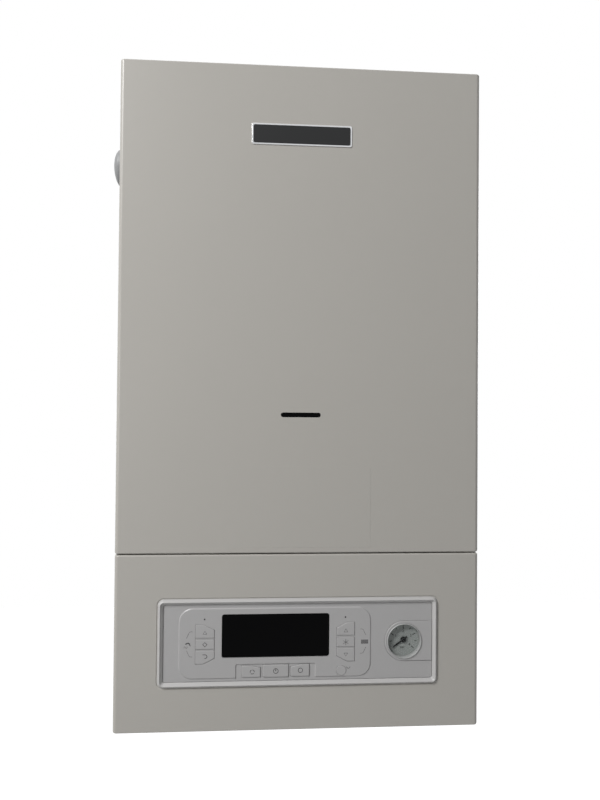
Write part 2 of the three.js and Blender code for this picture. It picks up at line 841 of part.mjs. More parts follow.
function keypadPlate() {
  const plate = fieldBlock(-touchGap, plateBackY, plateFaceY);
  const raised = prismY(embossOutline(), plateFaceY + 1, plateFaceY - embossHeight, 3);
  const button = rodY(buttonX, buttonZ, plateBackY + 1, plateFaceY - 2, buttonRadius + keyGap, 16);
  const display = prismY(displayOutline(touchGap), plateBackY + 1, plateFaceY - 2);
  const holder = prismY(holderOutline(touchGap, 2), plateBackY + 1, plateFaceY - 2, 5);
  return plate.add(raised).subtract(joined([button, display, holder, ...keys.map(keyHole)]));
}

function displayOutline(grow) {
  const half = displayWidth / 2 + grow;
  const high = displayHeight / 2 + grow;
  return roundedRect(displayX - half, displayX + half, displayZ - high, displayZ + high, displayCorner + grow);
}

function displayWindow() {
  return prismY(displayOutline(0), plateFaceY + displayDepth, plateFaceY - embossHeight - 0.2);
}

// The D-shaped insert: a round end about the gauge, straight to the right edge of the field.
function holderOutline(grow, past) {
  const right = bezelX + fieldHalfWidth - touchGap + past;
  const radius = gaugeHolderRadius + grow;
  const shape = new THREE.Shape();
  shape.moveTo(right, gaugeZ - radius);
  shape.lineTo(right, gaugeZ + radius);
  shape.absarc(gaugeX, gaugeZ, radius, Math.PI / 2, Math.PI * 1.5);
  return shape;
}

function gaugeHolder() {
  const bore = rodY(gaugeX, gaugeZ, plateBackY + 1, plateFaceY - 3, gaugeBodyRadius + touchGap, 20);
  return prismY(holderOutline(0, 0), plateBackY, plateFaceY - embossHeight - 0.3, 5).subtract(bore);
}

// The gauge is made round its own axis, with height 0 on the keypad's face.
function gaugeCase() {
  const holderFace = embossHeight + 0.3 + touchGap;
  const rim = holderFace + 1.6;
  const bore = gaugeDialRadius + touchGap;
  return turnedY([
    [0, -gaugeBodyDepth - 9], [5, -gaugeBodyDepth - 9], [5, -gaugeBodyDepth],
    [gaugeBodyRadius, -gaugeBodyDepth], [gaugeBodyRadius, holderFace], [gaugeRadius, holderFace],
    [gaugeRadius, rim - 0.5], [gaugeRadius - 0.6, rim], [bore + 0.4, rim], [bore, rim - 0.6],
    [bore, -gaugeSeatDepth], [0, -gaugeSeatDepth],
  ], 0, 0, 20);
}

function gaugeDial() {
  const back = -gaugeSeatDepth + touchGap;
  return turnedY(rodProfile(back, back + dialThickness, gaugeDialRadius), 0, 0, 20);
}

function needleBack() {
  return -gaugeSeatDepth + 2 * touchGap + dialThickness;
}

function gaugeNeedle() {
  const back = -needleBack();
  const blade = outlineOf([[-0.9, -needleTail], [0.9, -needleTail], [1, 0], [0.25, needleLength],
    [-0.25, needleLength], [-1, 0]]);
  const hub = turnedY(rodProfile(needleBack(), needleBack() + 1.9, needleHub), 0, 0, 16);
  return prismY(blade, back - 0.5, back - 1.2).add(hub);
}

function gaugeGlass() {
  const back = needleBack() + 1.9 + 0.6;
  const radius = gaugeDialRadius - 0.1;
  return turnedY([
    [0, back], [radius, back], [radius, back + 1.3], [radius * 0.7, back + 1.9], [radius * 0.35, back + 2.2],
    [0, back + 2.3],
  ], 0, 0, 20);
}

// A tray behind the fascia, with vent slots in its top and ribs on its back.
function controlBox() {
  const faceY = frontY + sheet + touchGap;
  const wall = boxWall;
  const outer = block(-boxHalfWidth, boxHalfWidth, faceY, -boxBack, boxBottom, boxTop);
  const hollow = block(-boxHalfWidth + wall, boxHalfWidth - wall, faceY - 1, -boxBack - wall,
    boxBottom + wall, boxTop - wall);
  const ribs = [];
  for (let x = -150; x <= 150; x += 50) {
    ribs.push(block(x - 1, x + 1, -boxBack - 1, -boxBack + 3, boxBottom + 12, boxTop - 12));
  }
  const vents = [];
  for (let x = -120; x <= 120; x += 30) {
    vents.push(prismZ(obround(x, (faceY - boxBack) / 2, 4, 46), boxTop - wall - 1, boxTop + 1, 1));
  }
  return outer.subtract(hollow).add(joined(ribs)).subtract(joined(vents));
}

function controlBoard() {
  const face = frontY + bezelBodyDepth + touchGap;
  const back = face + boardThickness;
  const left = bezelX - fieldHalfWidth - 2;
  const low = bezelZ - fieldHalfHeight - 2;
  const high = bezelZ + fieldHalfHeight + 2;
  const board = block(left, boardRight, face, back, low, high);
  const onBoard = (x, z, wide, tall, deep) =>
    block(x - wide / 2, x + wide / 2, back - 0.2, back + deep, z - tall / 2, z + tall / 2);
  const relays = relayPlaces.map((x) => onBoard(x, relayHeight, relaySide, relaySide, relaySide));
  const terminals = terminalPlaces.map((x) =>
    onBoard(x, terminalHeight, terminalLength, terminalSide, terminalSide));
  const transformer = onBoard(transformerX, transformerHeight, transformerLength,
    transformerDepth, transformerDepth);
  const capacitors = capacitorPlaces.map((x) =>
    rodY(x, capacitorHeight, back + capacitorLength, back - 0.2, capacitorRadius, 10));
  return joined([board, ...relays, ...terminals, transformer, ...capacitors]);
}

// ---- Air box and what it holds ----
function airBox() {
  const half = airBoxHalfWidth;
  const faceY = flangeFaceY;
  const outer = block(-half - sheet, half + sheet, -airBoxBack, faceY, airBoxBottom, airBoxTop);
  const flange = prismY(roundedRect(-webInner + touchGap, webInner - touchGap,
    airBoxBottom - flangeBelow, airBoxTop + flangeAbove, 3), faceY + sheet, faceY, 2);
  const hollow = block(-half, half, -airBoxBack - sheet, faceY - 1, airBoxBottom + sheet, airBoxTop - sheet);
  const flueHole = rodZ(0, flueY, airBoxTop - sheet - 1, airBoxTop + 1, collarBore / 2 - 2, 32);
  const pipeHoles = [
    rodZ(-risePipeX, coreMiddleY, airBoxBottom - 1, airBoxBottom + sheet + 1, waterPipeRadius + 1, 16),
    rodZ(risePipeX, coreMiddleY, airBoxBottom - 1, airBoxBottom + sheet + 1, waterPipeRadius + 1, 16),
    rodZ(0, manifoldY, airBoxBottom - 1, airBoxBottom + sheet + 1, gasPipeRadius + 1, 16),
  ];
  return joined([outer, flange]).subtract(hollow).subtract(joined([flueHole, ...pipeHoles]))
    .add(saddle(-1)).add(saddle(1));
}

// The hook on the air box's flange that the door's tab drops into.
function saddle(side) {
  const faceY = flangeFaceY;
  const lipY = saddleLipY();
  const ledgeTop = hookTabBottom - touchGap;
  const hook = outlineOf([
    [faceY + sheet / 2, ledgeTop - sheet], [faceY + sheet / 2, ledgeTop], [lipY + sheet, ledgeTop],
    [lipY + sheet, ledgeTop + saddleRise], [lipY, ledgeTop + saddleRise], [lipY, ledgeTop - sheet],
  ]);
  const outerX = webInner - touchGap - 2;
  return prismX(hook, side * outerX, side * (outerX - hookTabWidth));
}

function doorSeal() {
  const half = airBoxHalfWidth;
  const backY = panY + touchGap + sealThickness;
  const outer = prismY(roundedRect(-linerHalfWidth, linerHalfWidth, linerBottom + 1, linerTop - 1, 6),
    backY, panY + touchGap, 3);
  const inner = prismY(roundedRect(-half, half, airBoxBottom + sheet, airBoxTop - sheet, 3),
    backY + 1, panY, 2);
  return outer.subtract(inner);
}

// An open tube of sheet with insulated walls, a sight slot and two electrode holes in its front.
function combustionChamber() {
  const half = chamberHalfWidth;
  const wall = chamberWall;
  const outer = block(-half, half, coreBackY, coreFaceY, chamberBottom, chamberTop);
  const rim = block(-half - chamberRim, half + chamberRim, coreBackY, coreFaceY - chamberRim,
    chamberTop - sheet, chamberTop);
  const hollow = block(-half + wall, half - wall, coreBackY - wall, coreFaceY + wall,
    chamberBottom - 1, chamberTop + 1);
  const sight = prismY(obround(0, sightHeight, sightLength, sightWidth + 4), coreFaceY + wall + 1, coreFaceY - 1);
  const rods = electrodePlaces().map((x) =>
    rodY(x, electrodeHeight, coreFaceY + wall + 1, coreFaceY - 1, electrodeRadius + touchGap, 8));
  return outer.add(rim).subtract(hollow).subtract(joined([sight, ...rods]));
}

function electrodePlaces() {
  return [electrodeX - electrodeSpread, electrodeX + electrodeSpread];
}

function electrodeBlock() {
  const faceY = coreFaceY - touchGap;
  const body = prismY(roundedRect(electrodeX - 16, electrodeX + 16, electrodeHeight - 8, electrodeHeight + 8, 3),
    faceY, faceY - 16, 2);
  const rods = electrodePlaces().map((x) =>
    rodY(x, electrodeHeight, faceY + 34, faceY - 26, electrodeRadius, 8));
  return joined([body, ...rods]);
}

// Copper core: a pack of thin fins on three cross tubes, between two headers.
function heatExchanger() {
  const half = coreHalfWidth;
  const middle = (coreBottom + coreTop) / 2;
  const outer = block(-half, half, coreBackY - 2, coreFaceY + 2, coreBottom, coreTop);
  const hollow = block(-half + coreWall, half - coreWall, coreBackY - 2 - coreWall, coreFaceY + 2 + coreWall,
    coreBottom - 1, coreTop + 1);
  const tubes = [-1, 0, 1].map((row) =>
    rodX(coreMiddleY + row * coreTubePitch, middle, -half - 4, half + 4, coreTubeRadius, 6));
  const span = 2 * (half - coreWall);
  const fins = Array.from({ length: finCount }, (_, i) =>
    finPlate(-half + coreWall + (span * (i + 1)) / (finCount + 1)));
  const reach = coreTubePitch + coreTubeRadius + 3;
  const headers = [-1, 1].map((side) => block(side * (half + 2), side * (half + coreHeader),
    coreMiddleY + reach, coreMiddleY - reach, coreBottom + 4, coreTop - 4));
  return joined([outer.subtract(hollow), ...tubes, ...fins, ...headers]);
}

// One fin across the core's frame, with its lower edge waved between the tubes.
function finPlate(x) {
  const back = coreBackY - 2 - coreWall - touchGap;
  const front = coreFaceY + 2 + coreWall + touchGap;
  const low = coreBottom + 1;
  const third = (front - back) / 3;
  const points = [[back, coreTop - 1], [back, low]];
  for (let wave = 1; wave <= 3; wave += 1) {
    points.push([back + (wave - 0.5) * third, low + finWave], [back + wave * third, low]);
  }
  points.push([front, coreTop - 1]);
  return prismX(outlineOf(points), x - finThickness / 2, x + finThickness / 2);
}

// Blade bars side by side on two cross rails, with flame slots along their tops.
function burner() {
  const low = burnerTop - burnerHeight;
  const half = bladeWidth / 2;
  const backY = coreBackY - 12;
  const waist = half / 2;
  const section = [
    [waist, low], [half, low + 6], [waist, low + 14], [half, burnerTop - 8], [half, burnerTop],
  ];
  const places = Array.from({ length: bladeCount }, (_, i) => bladePlace(i));
  const blades = places.map((x) => prismY(outlineOf([
    ...section.map(([dx, z]) => [x + dx, z]),
    ...section.toReversed().map(([dx, z]) => [x - dx, z]),
  ]), backY, burnerFaceY));
  const slots = places.map((x) => block(x - 1, x + 1, backY - 4, burnerFaceY + 4, burnerTop - 3, burnerTop + 1));
  const reach = bladePlace(bladeCount - 1) + half + 3;
  const rails = [backY + 1, burnerFaceY + 3].map((y) =>
    block(-reach, reach, y, y - 4, burnerTop - 14, burnerTop - 4));
  return joined([...blades, ...rails]).subtract(joined(slots));
}

function bladePlace(i) {
  return (i - (bladeCount - 1) / 2) * bladePitch;
}

// The gas rail in front of the burner, with one nozzle for each blade.
function gasManifold() {
  const reach = bladePlace(bladeCount - 1) + 10;
  const rail = rodX(manifoldY, manifoldHeight, -reach, reach, manifoldRadius, 12);
  const tip = manifoldY + manifoldRadius + nozzleLength;
  const nozzles = Array.from({ length: bladeCount }, (_, i) =>
    rodY(bladePlace(i), manifoldHeight, tip, manifoldY, nozzleRadius, 6));
  const inlet = rodZ(0, manifoldY, manifoldHeight - manifoldRadius - 8, manifoldHeight, gasPipeRadius + 2, 6);
  return joined([rail, ...nozzles, inlet]);
}

function flueHood() {
  const low = coreTop + touchGap;
  const top = low + hoodHeight;
  const half = coreHalfWidth;
  const wall = hoodWall;
  const frontTop = riserFaceY - 6;
  const skirt = taperedBox([-half, half, coreBackY, coreFaceY],
    [-half + hoodSlope, half - hoodSlope, coreBackY, frontTop], low, top);
  const inner = taperedBox([-half + wall, half - wall, coreBackY - wall, coreFaceY + wall],
    [-half + hoodSlope + wall, half - hoodSlope - wall, coreBackY - wall, frontTop + wall],
    low - 0.01, top - wall);
  const reach = fanEye + 10;
  const riserTop = fanHeight + reach;
  const riser = block(fanX - reach, fanX + reach, coreBackY, riserFaceY, top - wall, riserTop);
  const channel = block(fanX - reach + wall, fanX + reach - wall, coreBackY - wall, riserFaceY + wall,
    top - 2 * wall, riserTop - wall);
  const eye = rodY(fanX, fanHeight, riserFaceY + wall + 1, riserFaceY - 1, fanEye, 20);
  return skirt.add(riser).subtract(joined([inner, channel, eye]));
}

// A box that narrows from its lower to its upper outline, each given as [x0, x1, y0, y1].
function taperedBox(lower, upper, z0, z1) {
  const geometry = new THREE.BoxGeometry(1, 1, 1);
  const places = geometry.attributes.position;
  for (let i = 0; i < places.count; i += 1) {
    const ring = places.getZ(i) < 0 ? lower : upper;
    const x = places.getX(i) < 0 ? Math.min(ring[0], ring[1]) : Math.max(ring[0], ring[1]);
    const y = places.getY(i) < 0 ? Math.min(ring[2], ring[3]) : Math.max(ring[2], ring[3]);
    places.setXYZ(i, x, y, places.getZ(i) < 0 ? z0 : z1);
  }
  return solidOf(geometry);
}

// The scroll's outline widens from its tongue to the outlet duct, which rises on its right.
function scrollOutline(grow) {
  const steps = 14;
  const sweep = (2 - scrollFirst) * Math.PI;
  const points = Array.from({ length: steps + 1 }, (_, i) => {
    const angle = scrollFirst * Math.PI + (sweep * i) / steps;
    const radius = scrollStart + ((scrollEnd - scrollStart) * i) / steps + grow;
    return [fanX + radius * Math.cos(angle), fanHeight + radius * Math.sin(angle)];
  });
  const duct = flueInner / 2 + grow;
  const top = ductTop() + grow;
  return outlineOf([...points, [duct, top], [-duct, top], [-duct, top - 6]]);
}

function ductTop() {
  return airBoxTop - sheet - ductGap;
}

function fanHousing() {
  const backY = flueY + fanDepth / 2;
  const faceY = flueY - fanDepth / 2;
  const spigotTop = casingHeight + collarRise - 4;
  const radius = flueInner / 2;
  const inside = radius - fanWall;
  const outer = prismY(scrollOutline(0), backY, faceY);
  const hollow = prismY(scrollOutline(-fanWall), backY - fanWall, faceY + fanWall);
  const spigot = rodZ(0, flueY, ductTop() - 1, spigotTop, radius - 0.01, 20);
  const bore = rodZ(0, flueY, ductTop() - 2 * fanWall - 1, spigotTop + 1, inside - 1, 20);
  const eye = rodY(fanX, fanHeight, backY + 1, backY - fanWall - 1, fanEye, 20);
  const shaftHole = rodY(fanX, fanHeight, faceY + fanWall + 1, faceY - 1, shaftRadius + 2, 12);
  return outer.add(spigot).subtract(joined([hollow, bore, eye, shaftHole]));
}

// A drum of forward-curved blades between a back plate and a front ring, on a short shaft.
function fanImpeller() {
  const half = fanDepth / 2 - fanWall - 2;
  const lean = 0.35;
  const tip = impellerRadius - 1;
  const blades = Array.from({ length: impellerBlades }, (_, i) => {
    const angle = (i / impellerBlades) * Math.PI * 2;
    const at = (radius, turn) => [radius * Math.cos(angle + turn), radius * Math.sin(angle + turn)];
    const edge = [at(impellerInner, 0), at(tip, lean), at(tip, lean + 0.06), at(impellerInner, 0.08)];
    return prismY(outlineOf(edge), half - 0.5, -half + 0.5);
  });
  const plate = turnedY(rodProfile(half - 1.5, half, impellerRadius), 0, 0, 20);
  const inner = impellerInner - 2;
  const ring = turnedY([
    [inner, -half], [impellerRadius, -half], [impellerRadius, 1.5 - half], [inner, 1.5 - half], [inner, -half],
  ], 0, 0, 20);
  const shaft = turnedY(rodProfile(half - 1, fanDepth / 2 + touchGap + 6, shaftRadius), 0, 0, 12);
  return joined([plate, ring, shaft, ...blades]);
}

function fanMotor() {
  const faceY = flueY - fanDepth / 2 - touchGap;
  const bore = shaftRadius + touchGap;
  const h = -faceY;
  const end = h + motorLength;
  const body = turnedY([
    [bore, h], [motorRadius + motorFlange, h], [motorRadius + motorFlange, h + 3], [motorRadius, h + 3],
    [motorRadius, end - motorFlange], [motorRadius - motorFlange, end], [2 * shaftRadius, end],
    [2 * shaftRadius, end + shaftRadius], [0, end + shaftRadius], [0, h + motorSeat],
    [bore, h + motorSeat], [bore, h],
  ], fanX, fanHeight, 16);
  const coreHalf = motorRadius + 2 * shaftRadius;
  const coreFace = faceY - motorSeat;
  const coreRise = motorRadius * motorCoreShare;
  const core = block(fanX - coreHalf, fanX + coreHalf, coreFace, coreFace - motorCoreDepth,
    fanHeight - coreRise, fanHeight + coreRise);
  return body.add(core);
}

function pressureSwitch() {
  const back = -coreBackY;
  const x = airBoxHalfWidth - switchRadius - 8;
  const seat = switchRadius - switchBase;
  const brim = back + switchBase;
  const front = back + switchDepth;
  return turnedY([
    [0, back], [seat, back], [seat, brim], [switchRadius, brim + 1], [switchRadius, brim + 5],
    [switchRadius - 3, brim + 6], [switchRadius * 0.5, front], [switchRadius * 0.2, front + 1],
    [switchRadius * 0.2, front + switchStem], [0, front + switchStem],
  ], x, switchHeight, 16);
}

// ---- Water and gas side ----
function expansionVessel() {
  const back = -sideBackY;
  const r = vesselRadius;
  const front = back + vesselDepth;
  const middle = (back + front) / 2;
  const rim = r + vesselRim;
  const flat = r * vesselFlat;
  const shell = turnedY([
    [0, back], [flat, back], [r, back + vesselShoulder], [r, middle - 3], [rim, middle - 2],
    [rim, middle + 2], [r, middle + 3], [r, front - vesselShoulder], [flat, front], [0, front],
  ], 0, vesselHeight, 22);
  const line = rodZ(vesselPipeX, -middle, blockTop + touchGap, vesselHeight - r + vesselPipeReach,
    vesselPipeRadius, 10);
  return shell.add(line);
}

// A round connection that goes down through the pipe shelf, with its union nut below it.
function stub(place, top) {
  const x = place * pipeSpacing;
  const nutTop = shelfHeight - touchGap;
  return joined([
    rodZ(x, rowY, -stubDrop, top, stubRadius, 12),
    rodZ(x, rowY, nutTop - nutHeight, nutTop, nutRadius, 6),
  ]);
}

// The open bores at the lower ends of the connections.
function stubBores(places) {
  return joined(places.map((place) =>
    rodZ(place * pipeSpacing, rowY, -stubDrop - 1, -stubDrop + stubBoreDepth, stubBore, 10)));
}

// A cast block across two neighbouring connections, with a raised port on its top.
function hydraulicBlock(side, portX) {
  const near = side * (pipeSpacing - blockNear);
  const far = side * (2 * pipeSpacing + blockFar);
  const middle = (blockBottom + blockTop) / 2;
  const section = roundedRect(blockFaceY, rowY + blockRear, blockBottom, blockTop, 8);
  const body = prismX(section, near, far);
  const port = rodZ(portX, rowY, blockTop - 2, blockTop + portRise, portRadius, 12);
  const barrel = rodX(rowY, middle, near - side * blockCap, far + side * blockCap, portRadius, 12);
  return joined([body, port, barrel, stub(side, blockBottom + 2), stub(side * 2, blockBottom + 2)])
    .subtract(stubBores([side, side * 2]));
}

function diverterBlock() {
  return hydraulicBlock(-1, -risePipeX);
}

// The return block also carries the safety valve's body and the filling tap's stem.
function returnBlock() {
  const middle = (blockBottom + blockTop) / 2;
  const valve = rodY(risePipeX, middle, blockFaceY + 2, blockFaceY - valveNeck, knobRadius - 4, 12);
  const tap = rodZ(tapX, -tapDepth, -2, blockBottom + 2, tapStem, 12);
  return joined([hydraulicBlock(1, pumpX), valve, tap]);
}

// Both knobs are gripped by their ribs, which stand round a plain drum.
function knob(radius, length, ribs) {
  const drum = rodZ(0, 0, 0, length, radius - 1.5, 12);
  const grips = Array.from({ length: ribs }, (_, i) => {
    const angle = (i / ribs) * Math.PI * 2;
    return rodZ((radius - 2) * Math.cos(angle), (radius - 2) * Math.sin(angle), 1, length - 1, 2, 6);
  });
  const pointer = block(-1.2, 1.2, 0, radius - 3, length - 1, length + 1);
  return joined([drum, ...grips, pointer]);
}

function diverterMotor() {
  const low = blockTop + touchGap;
  const x = -pipeSpacing * 1.5;
  const half = divertMotorHalf;
  const base = low + divertNeckHeight;
  const high = low + divertMotorHeight;
  const body = prismZ(roundedRect(x - half, x + half, rowY - half, rowY + half, divertNeckHeight), base, high);
  const neck = rodZ(x, rowY, low, base + 1, divertNeckRadius, 16);
  const cap = rodZ(x, rowY, high - 1, high + divertNeckHeight, divertNeckRadius - 2, 16);
  return joined([body, neck, cap]);
}

// A stack of pressed plates; every second one is a little smaller.
function plateExchanger() {
  const backY = blockFaceY - touchGap;
  const layers = Array.from({ length: exchangerPlates }, (_, i) => {
    const inset = i % 2 === 0 ? 0 : 1.4;
    const outline = roundedRect(exchangerLeft + inset, exchangerRight - inset, exchangerBottom + inset,
      exchangerTop - inset, 10 - inset);
    return prismY(outline, backY - i * exchangerPitch, backY - (i + 1) * exchangerPitch - 0.1);
  });
  return joined(layers);
}

function pumpBody() {
  const backY = rowY + pumpDepth * 0.4;
  const faceY = rowY - pumpDepth * 0.6;
  const suctionLow = blockTop + portRise + touchGap;
  const scroll = turnedY([
    [0, -backY], [pumpRadius - 6, -backY], [pumpRadius, -backY + 6], [pumpRadius, -faceY - 6],
    [pumpRadius - 3, -faceY], [0, -faceY],
  ], pumpX, pumpHeight, 20);
  const suction = rodZ(pumpX, rowY, suctionLow, pumpHeight, portRadius, 12);
  const discharge = rodZ(risePipeX, rowY, pumpHeight, pumpHeight + dischargeRise, waterPipeRadius + 4, 16);
  const boss = rodZ(ventX, rowY, pumpHeight + pumpRadius - ventBoss, pumpHeight + pumpRadius + 2, ventRadius, 12);
  return joined([scroll, suction, discharge, boss]);
}

function pumpMotor() {
  const h = -rowY + pumpDepth * 0.6 + touchGap;
  const r = pumpMotorRadius;
  const end = h + pumpMotorLength;
  const can = turnedY([
    [0, h], [r, h], [r, h + 3], [r - 3, h + 4], [r - 3, end - pumpMotorNose], [r - 8, end - 3],
    [pumpMotorNose, end - 3], [pumpMotorNose, end], [0, end],
  ], pumpX, pumpHeight, 20);
  const low = pumpHeight + r - pumpMotorNose;
  const terminal = block(pumpX - pumpTerminalHalf, pumpX + pumpTerminalHalf, -h - pumpTerminalStart,
    -end + pumpTerminalStart, low, low + pumpTerminalHeight);
  return can.add(terminal);
}

function airVent() {
  const low = pumpHeight + pumpRadius + 2 + touchGap;
  const high = low + ventHeight;
  const neck = high - ventRadius / 2;
  return turnedZ([
    [0, low], [ventRadius - 2, low], [ventRadius, low + 3], [ventRadius, neck - 4], [ventRadius - 4, neck - 1],
    [ventRadius - 6, neck], [ventRadius - 6, high], [0, high],
  ], ventX, rowY, 16);
}

// The valve stands on its own connection and carries two coils on its top.
function gasValve() {
  const outlet = rodY(0, valveOutletHeight, rowY - valveFront + 1, rowY - valveFront - valveOutletLength,
    gasPipeRadius + 3, 6);
  const body = prismZ(roundedRect(-valveHalfWidth, valveHalfWidth, rowY - valveFront, rowY + valveFront - 5, 5),
    valveBottom, valveTop);
  const coilTop = valveTop + coilHeight;
  const coils = [-1, 1].map((side) => turnedZ([
    [0, valveTop - 1], [coilRadius - 3, valveTop - 1], [coilRadius - 3, valveTop + 4],
    [coilRadius, valveTop + 4], [coilRadius, coilTop], [5, coilTop + 2], [5, coilTop + 6], [0, coilTop + 6],
  ], side * coilSpread, rowY + 8, 12));
  const neck = rodZ(0, rowY, blockBottom, valveBottom + 1, stubRadius + 3, 12);
  return joined([body, ...coils, outlet, neck, stub(0, blockBottom + 2)]).subtract(stubBores([0]));
}

function gasPipe() {
  const start = rowY - valveFront - valveOutletLength - touchGap;
  const crossY = start - gasPipeStep;
  return pipe([
    [0, start, valveOutletHeight], [0, crossY, valveOutletHeight], [0, crossY, gasCrossHeight],
    [0, manifoldY, gasCrossHeight], [0, manifoldY, manifoldHeight - manifoldRadius - 8 - touchGap],
  ], gasPipeRadius);
}

function flowPipe() {
  const x = coreHalfWidth + coreHeader + touchGap;
  const z = (coreBottom + coreTop) / 2;
  return pipe([
    [-x, coreMiddleY, z], [-risePipeX, coreMiddleY, z], [-risePipeX, coreMiddleY, flowJogTop],
    [-risePipeX, rowY, flowJogLow], [-risePipeX, rowY, blockTop + portRise + touchGap],
  ], waterPipeRadius);
}

function returnPipe() {
  const x = coreHalfWidth + coreHeader + touchGap;
  const z = (coreBottom + coreTop) / 2;
  const end = pumpHeight + dischargeRise + touchGap;
  return pipe([
    [x, coreMiddleY, z], [risePipeX, coreMiddleY, z], [risePipeX, coreMiddleY, end + returnJogTop],
    [risePipeX, rowY, end + returnJogLow], [risePipeX, rowY, end],
  ], waterPipeRadius);
}

// ---- Assembly ----
const finishes = {
  paint: { color: 0xdedcd6, roughness: 0.45, metalness: 0 },
  zinc: { color: 0xb4b6b6, roughness: 0.45, metalness: 0.9 },
  steel: { color: 0xc4c6c6, roughness: 0.35, metalness: 1 },
  palePlastic: { color: 0xd3d4d4, roughness: 0.5, metalness: 0 },
  greyPlastic: { color: 0x8d9091, roughness: 0.55, metalness: 0 },
  blackPlastic: { color: 0x1b1c1d, roughness: 0.4, metalness: 0 },
  blackGlass: { color: 0x060607, roughness: 0.08, metalness: 0 },
  clearGlass: { color: 0xeef2f2, roughness: 0.05, metalness: 0 },
  dial: { color: 0xb9bdbb, roughness: 0.6, metalness: 0 },
  rubber: { color: 0x242424, roughness: 0.8, metalness: 0 },
  board: { color: 0x2f6b3c, roughness: 0.5, metalness: 0 },
  copper: { color: 0xb87349, roughness: 0.35, metalness: 1 },
  brass: { color: 0xb99a56, roughness: 0.4, metalness: 1 },
  castIron: { color: 0x2d3033, roughness: 0.7, metalness: 0.4 },
  redPaint: { color: 0xa3201c, roughness: 0.4, metalness: 0.1 },
  redPlastic: { color: 0xb5231d, roughness: 0.45, metalness: 0 },
  ceramic: { color: 0xe8e4d8, roughness: 0.5, metalness: 0 },
  aluminium: { color: 0xc9cbcc, roughness: 0.4, metalness: 1 },
};

function part(group, name, solid, finish, x = 0, y = 0, z = 0) {
  const mesh = new THREE.Mesh(geometryOf(solid), new THREE.MeshStandardMaterial(finishes[finish]));
  mesh.name = name;
  mesh.position.set(x, y, z);
  group.add(mesh);
  return mesh;
}

const shell = new THREE.Group();
part(shell, 'wall_rail', wallRail(), 'zinc');
part(shell, 'back_frame', backFrame(), 'zinc');
part(shell, 'side_panel_left', sidePanelLeft(), 'paint');
part(shell, 'side_panel_right', sidePanel(1), 'paint');
part(shell, 'top_panel', topPanel(), 'paint');
part(shell, 'side_cap', sideCap(), 'greyPlastic');
part(shell, 'flue_collar', flueCollar(), 'blackPlastic');
part(shell, 'hinge_pin_left', hingePin(-1), 'steel');
part(shell, 'hinge_pin_right', hingePin(1), 'steel');

const door = new THREE.Group();
part(door, 'front_door', frontDoor(), 'paint');
part(door, 'door_liner', doorLiner(), 'zinc');
part(door, 'sight_window', sightWindow(), 'blackGlass');

const panel = new THREE.Group();
part(panel, 'fascia_panel', fasciaPanel(), 'paint');
part(panel, 'control_bezel', controlBezel(), 'palePlastic');
part(panel, 'keypad_plate', keypadPlate(), 'palePlastic');
part(panel, 'display_window', displayWindow(), 'blackGlass');
part(panel, 'control_box', controlBox(), 'greyPlastic');
part(panel, 'control_board', controlBoard(), 'board');
for (const key of keys) {
  part(panel, key.name, keyCap(key), 'palePlastic', key.x, plateFaceY, key.z);
}
part(panel, 'round_button', roundButton(), 'palePlastic', buttonX, plateFaceY, buttonZ);
part(panel, 'gauge_holder', gaugeHolder(), 'palePlastic');

const gauge = new THREE.Group();
gauge.position.set(gaugeX, plateFaceY, gaugeZ);
part(gauge, 'gauge_case', gaugeCase(), 'palePlastic');
part(gauge, 'gauge_dial', gaugeDial(), 'dial');
part(gauge, 'gauge_needle', gaugeNeedle(), 'blackPlastic').rotation.y = THREE.MathUtils.degToRad(needleRest);
part(gauge, 'gauge_glass', gaugeGlass(), 'clearGlass');
panel.add(gauge);

const heating = new THREE.Group();
part(heating, 'air_box', airBox(), 'zinc');
part(heating, 'door_seal', doorSeal(), 'rubber');
part(heating, 'combustion_chamber', combustionChamber(), 'steel');
part(heating, 'heat_exchanger', heatExchanger(), 'copper');
part(heating, 'burner', burner(), 'steel');
part(heating, 'gas_manifold', gasManifold(), 'aluminium');
part(heating, 'electrode_block', electrodeBlock(), 'ceramic');
part(heating, 'flue_hood', flueHood(), 'zinc');
part(heating, 'fan_housing', fanHousing(), 'steel');
part(heating, 'fan_impeller', fanImpeller(), 'aluminium', fanX, flueY, fanHeight);
part(heating, 'fan_motor', fanMotor(), 'castIron');
part(heating, 'pressure_switch', pressureSwitch(), 'palePlastic');

const water = new THREE.Group();
part(water, 'expansion_vessel', expansionVessel(), 'redPaint');
part(water, 'diverter_block', diverterBlock(), 'brass');
part(water, 'return_block', returnBlock(), 'brass');
part(water, 'diverter_motor', diverterMotor(), 'blackPlastic');
part(water, 'plate_exchanger', plateExchanger(), 'steel');
part(water, 'pump_body', pumpBody(), 'castIron');
part(water, 'pump_motor', pumpMotor(), 'aluminium');
part(water, 'air_vent', airVent(), 'blackPlastic');
part(water, 'gas_valve', gasValve(), 'aluminium');
part(water, 'gas_pipe', gasPipe(), 'copper');
part(water, 'flow_pipe', flowPipe(), 'copper');
part(water, 'return_pipe', returnPipe(), 'copper');
const safetyKnob = part(water, 'safety_valve_knob', knob(knobRadius, 14, 6), 'redPlastic',
  risePipeX, blockFaceY - 12 - touchGap, (blockBottom + blockTop) / 2);
safetyKnob.rotation.x = Math.PI / 2;
const tapKnob = part(water, 'filling_tap_knob', knob(tapRadius, 18, 6), 'blackPlastic', tapX, -tapDepth, -2 - touchGap);
tapKnob.rotation.x = Math.PI;

const casing = new THREE.Group();
casing.add(shell, door, panel, heating, water);
casing.position.z = -railHeight;

const boiler = new THREE.Group();
boiler.add(casing);

export default boiler;
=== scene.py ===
"""Looks of a wall-hung combi boiler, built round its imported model.

Sizes are casing millimetres until they are placed: x from the centre line, y = 0 on the wall
with the front at minus 320, and z = 0 at the casing's underside.
"""
import math
import bpy
from mathutils import Matrix, Vector


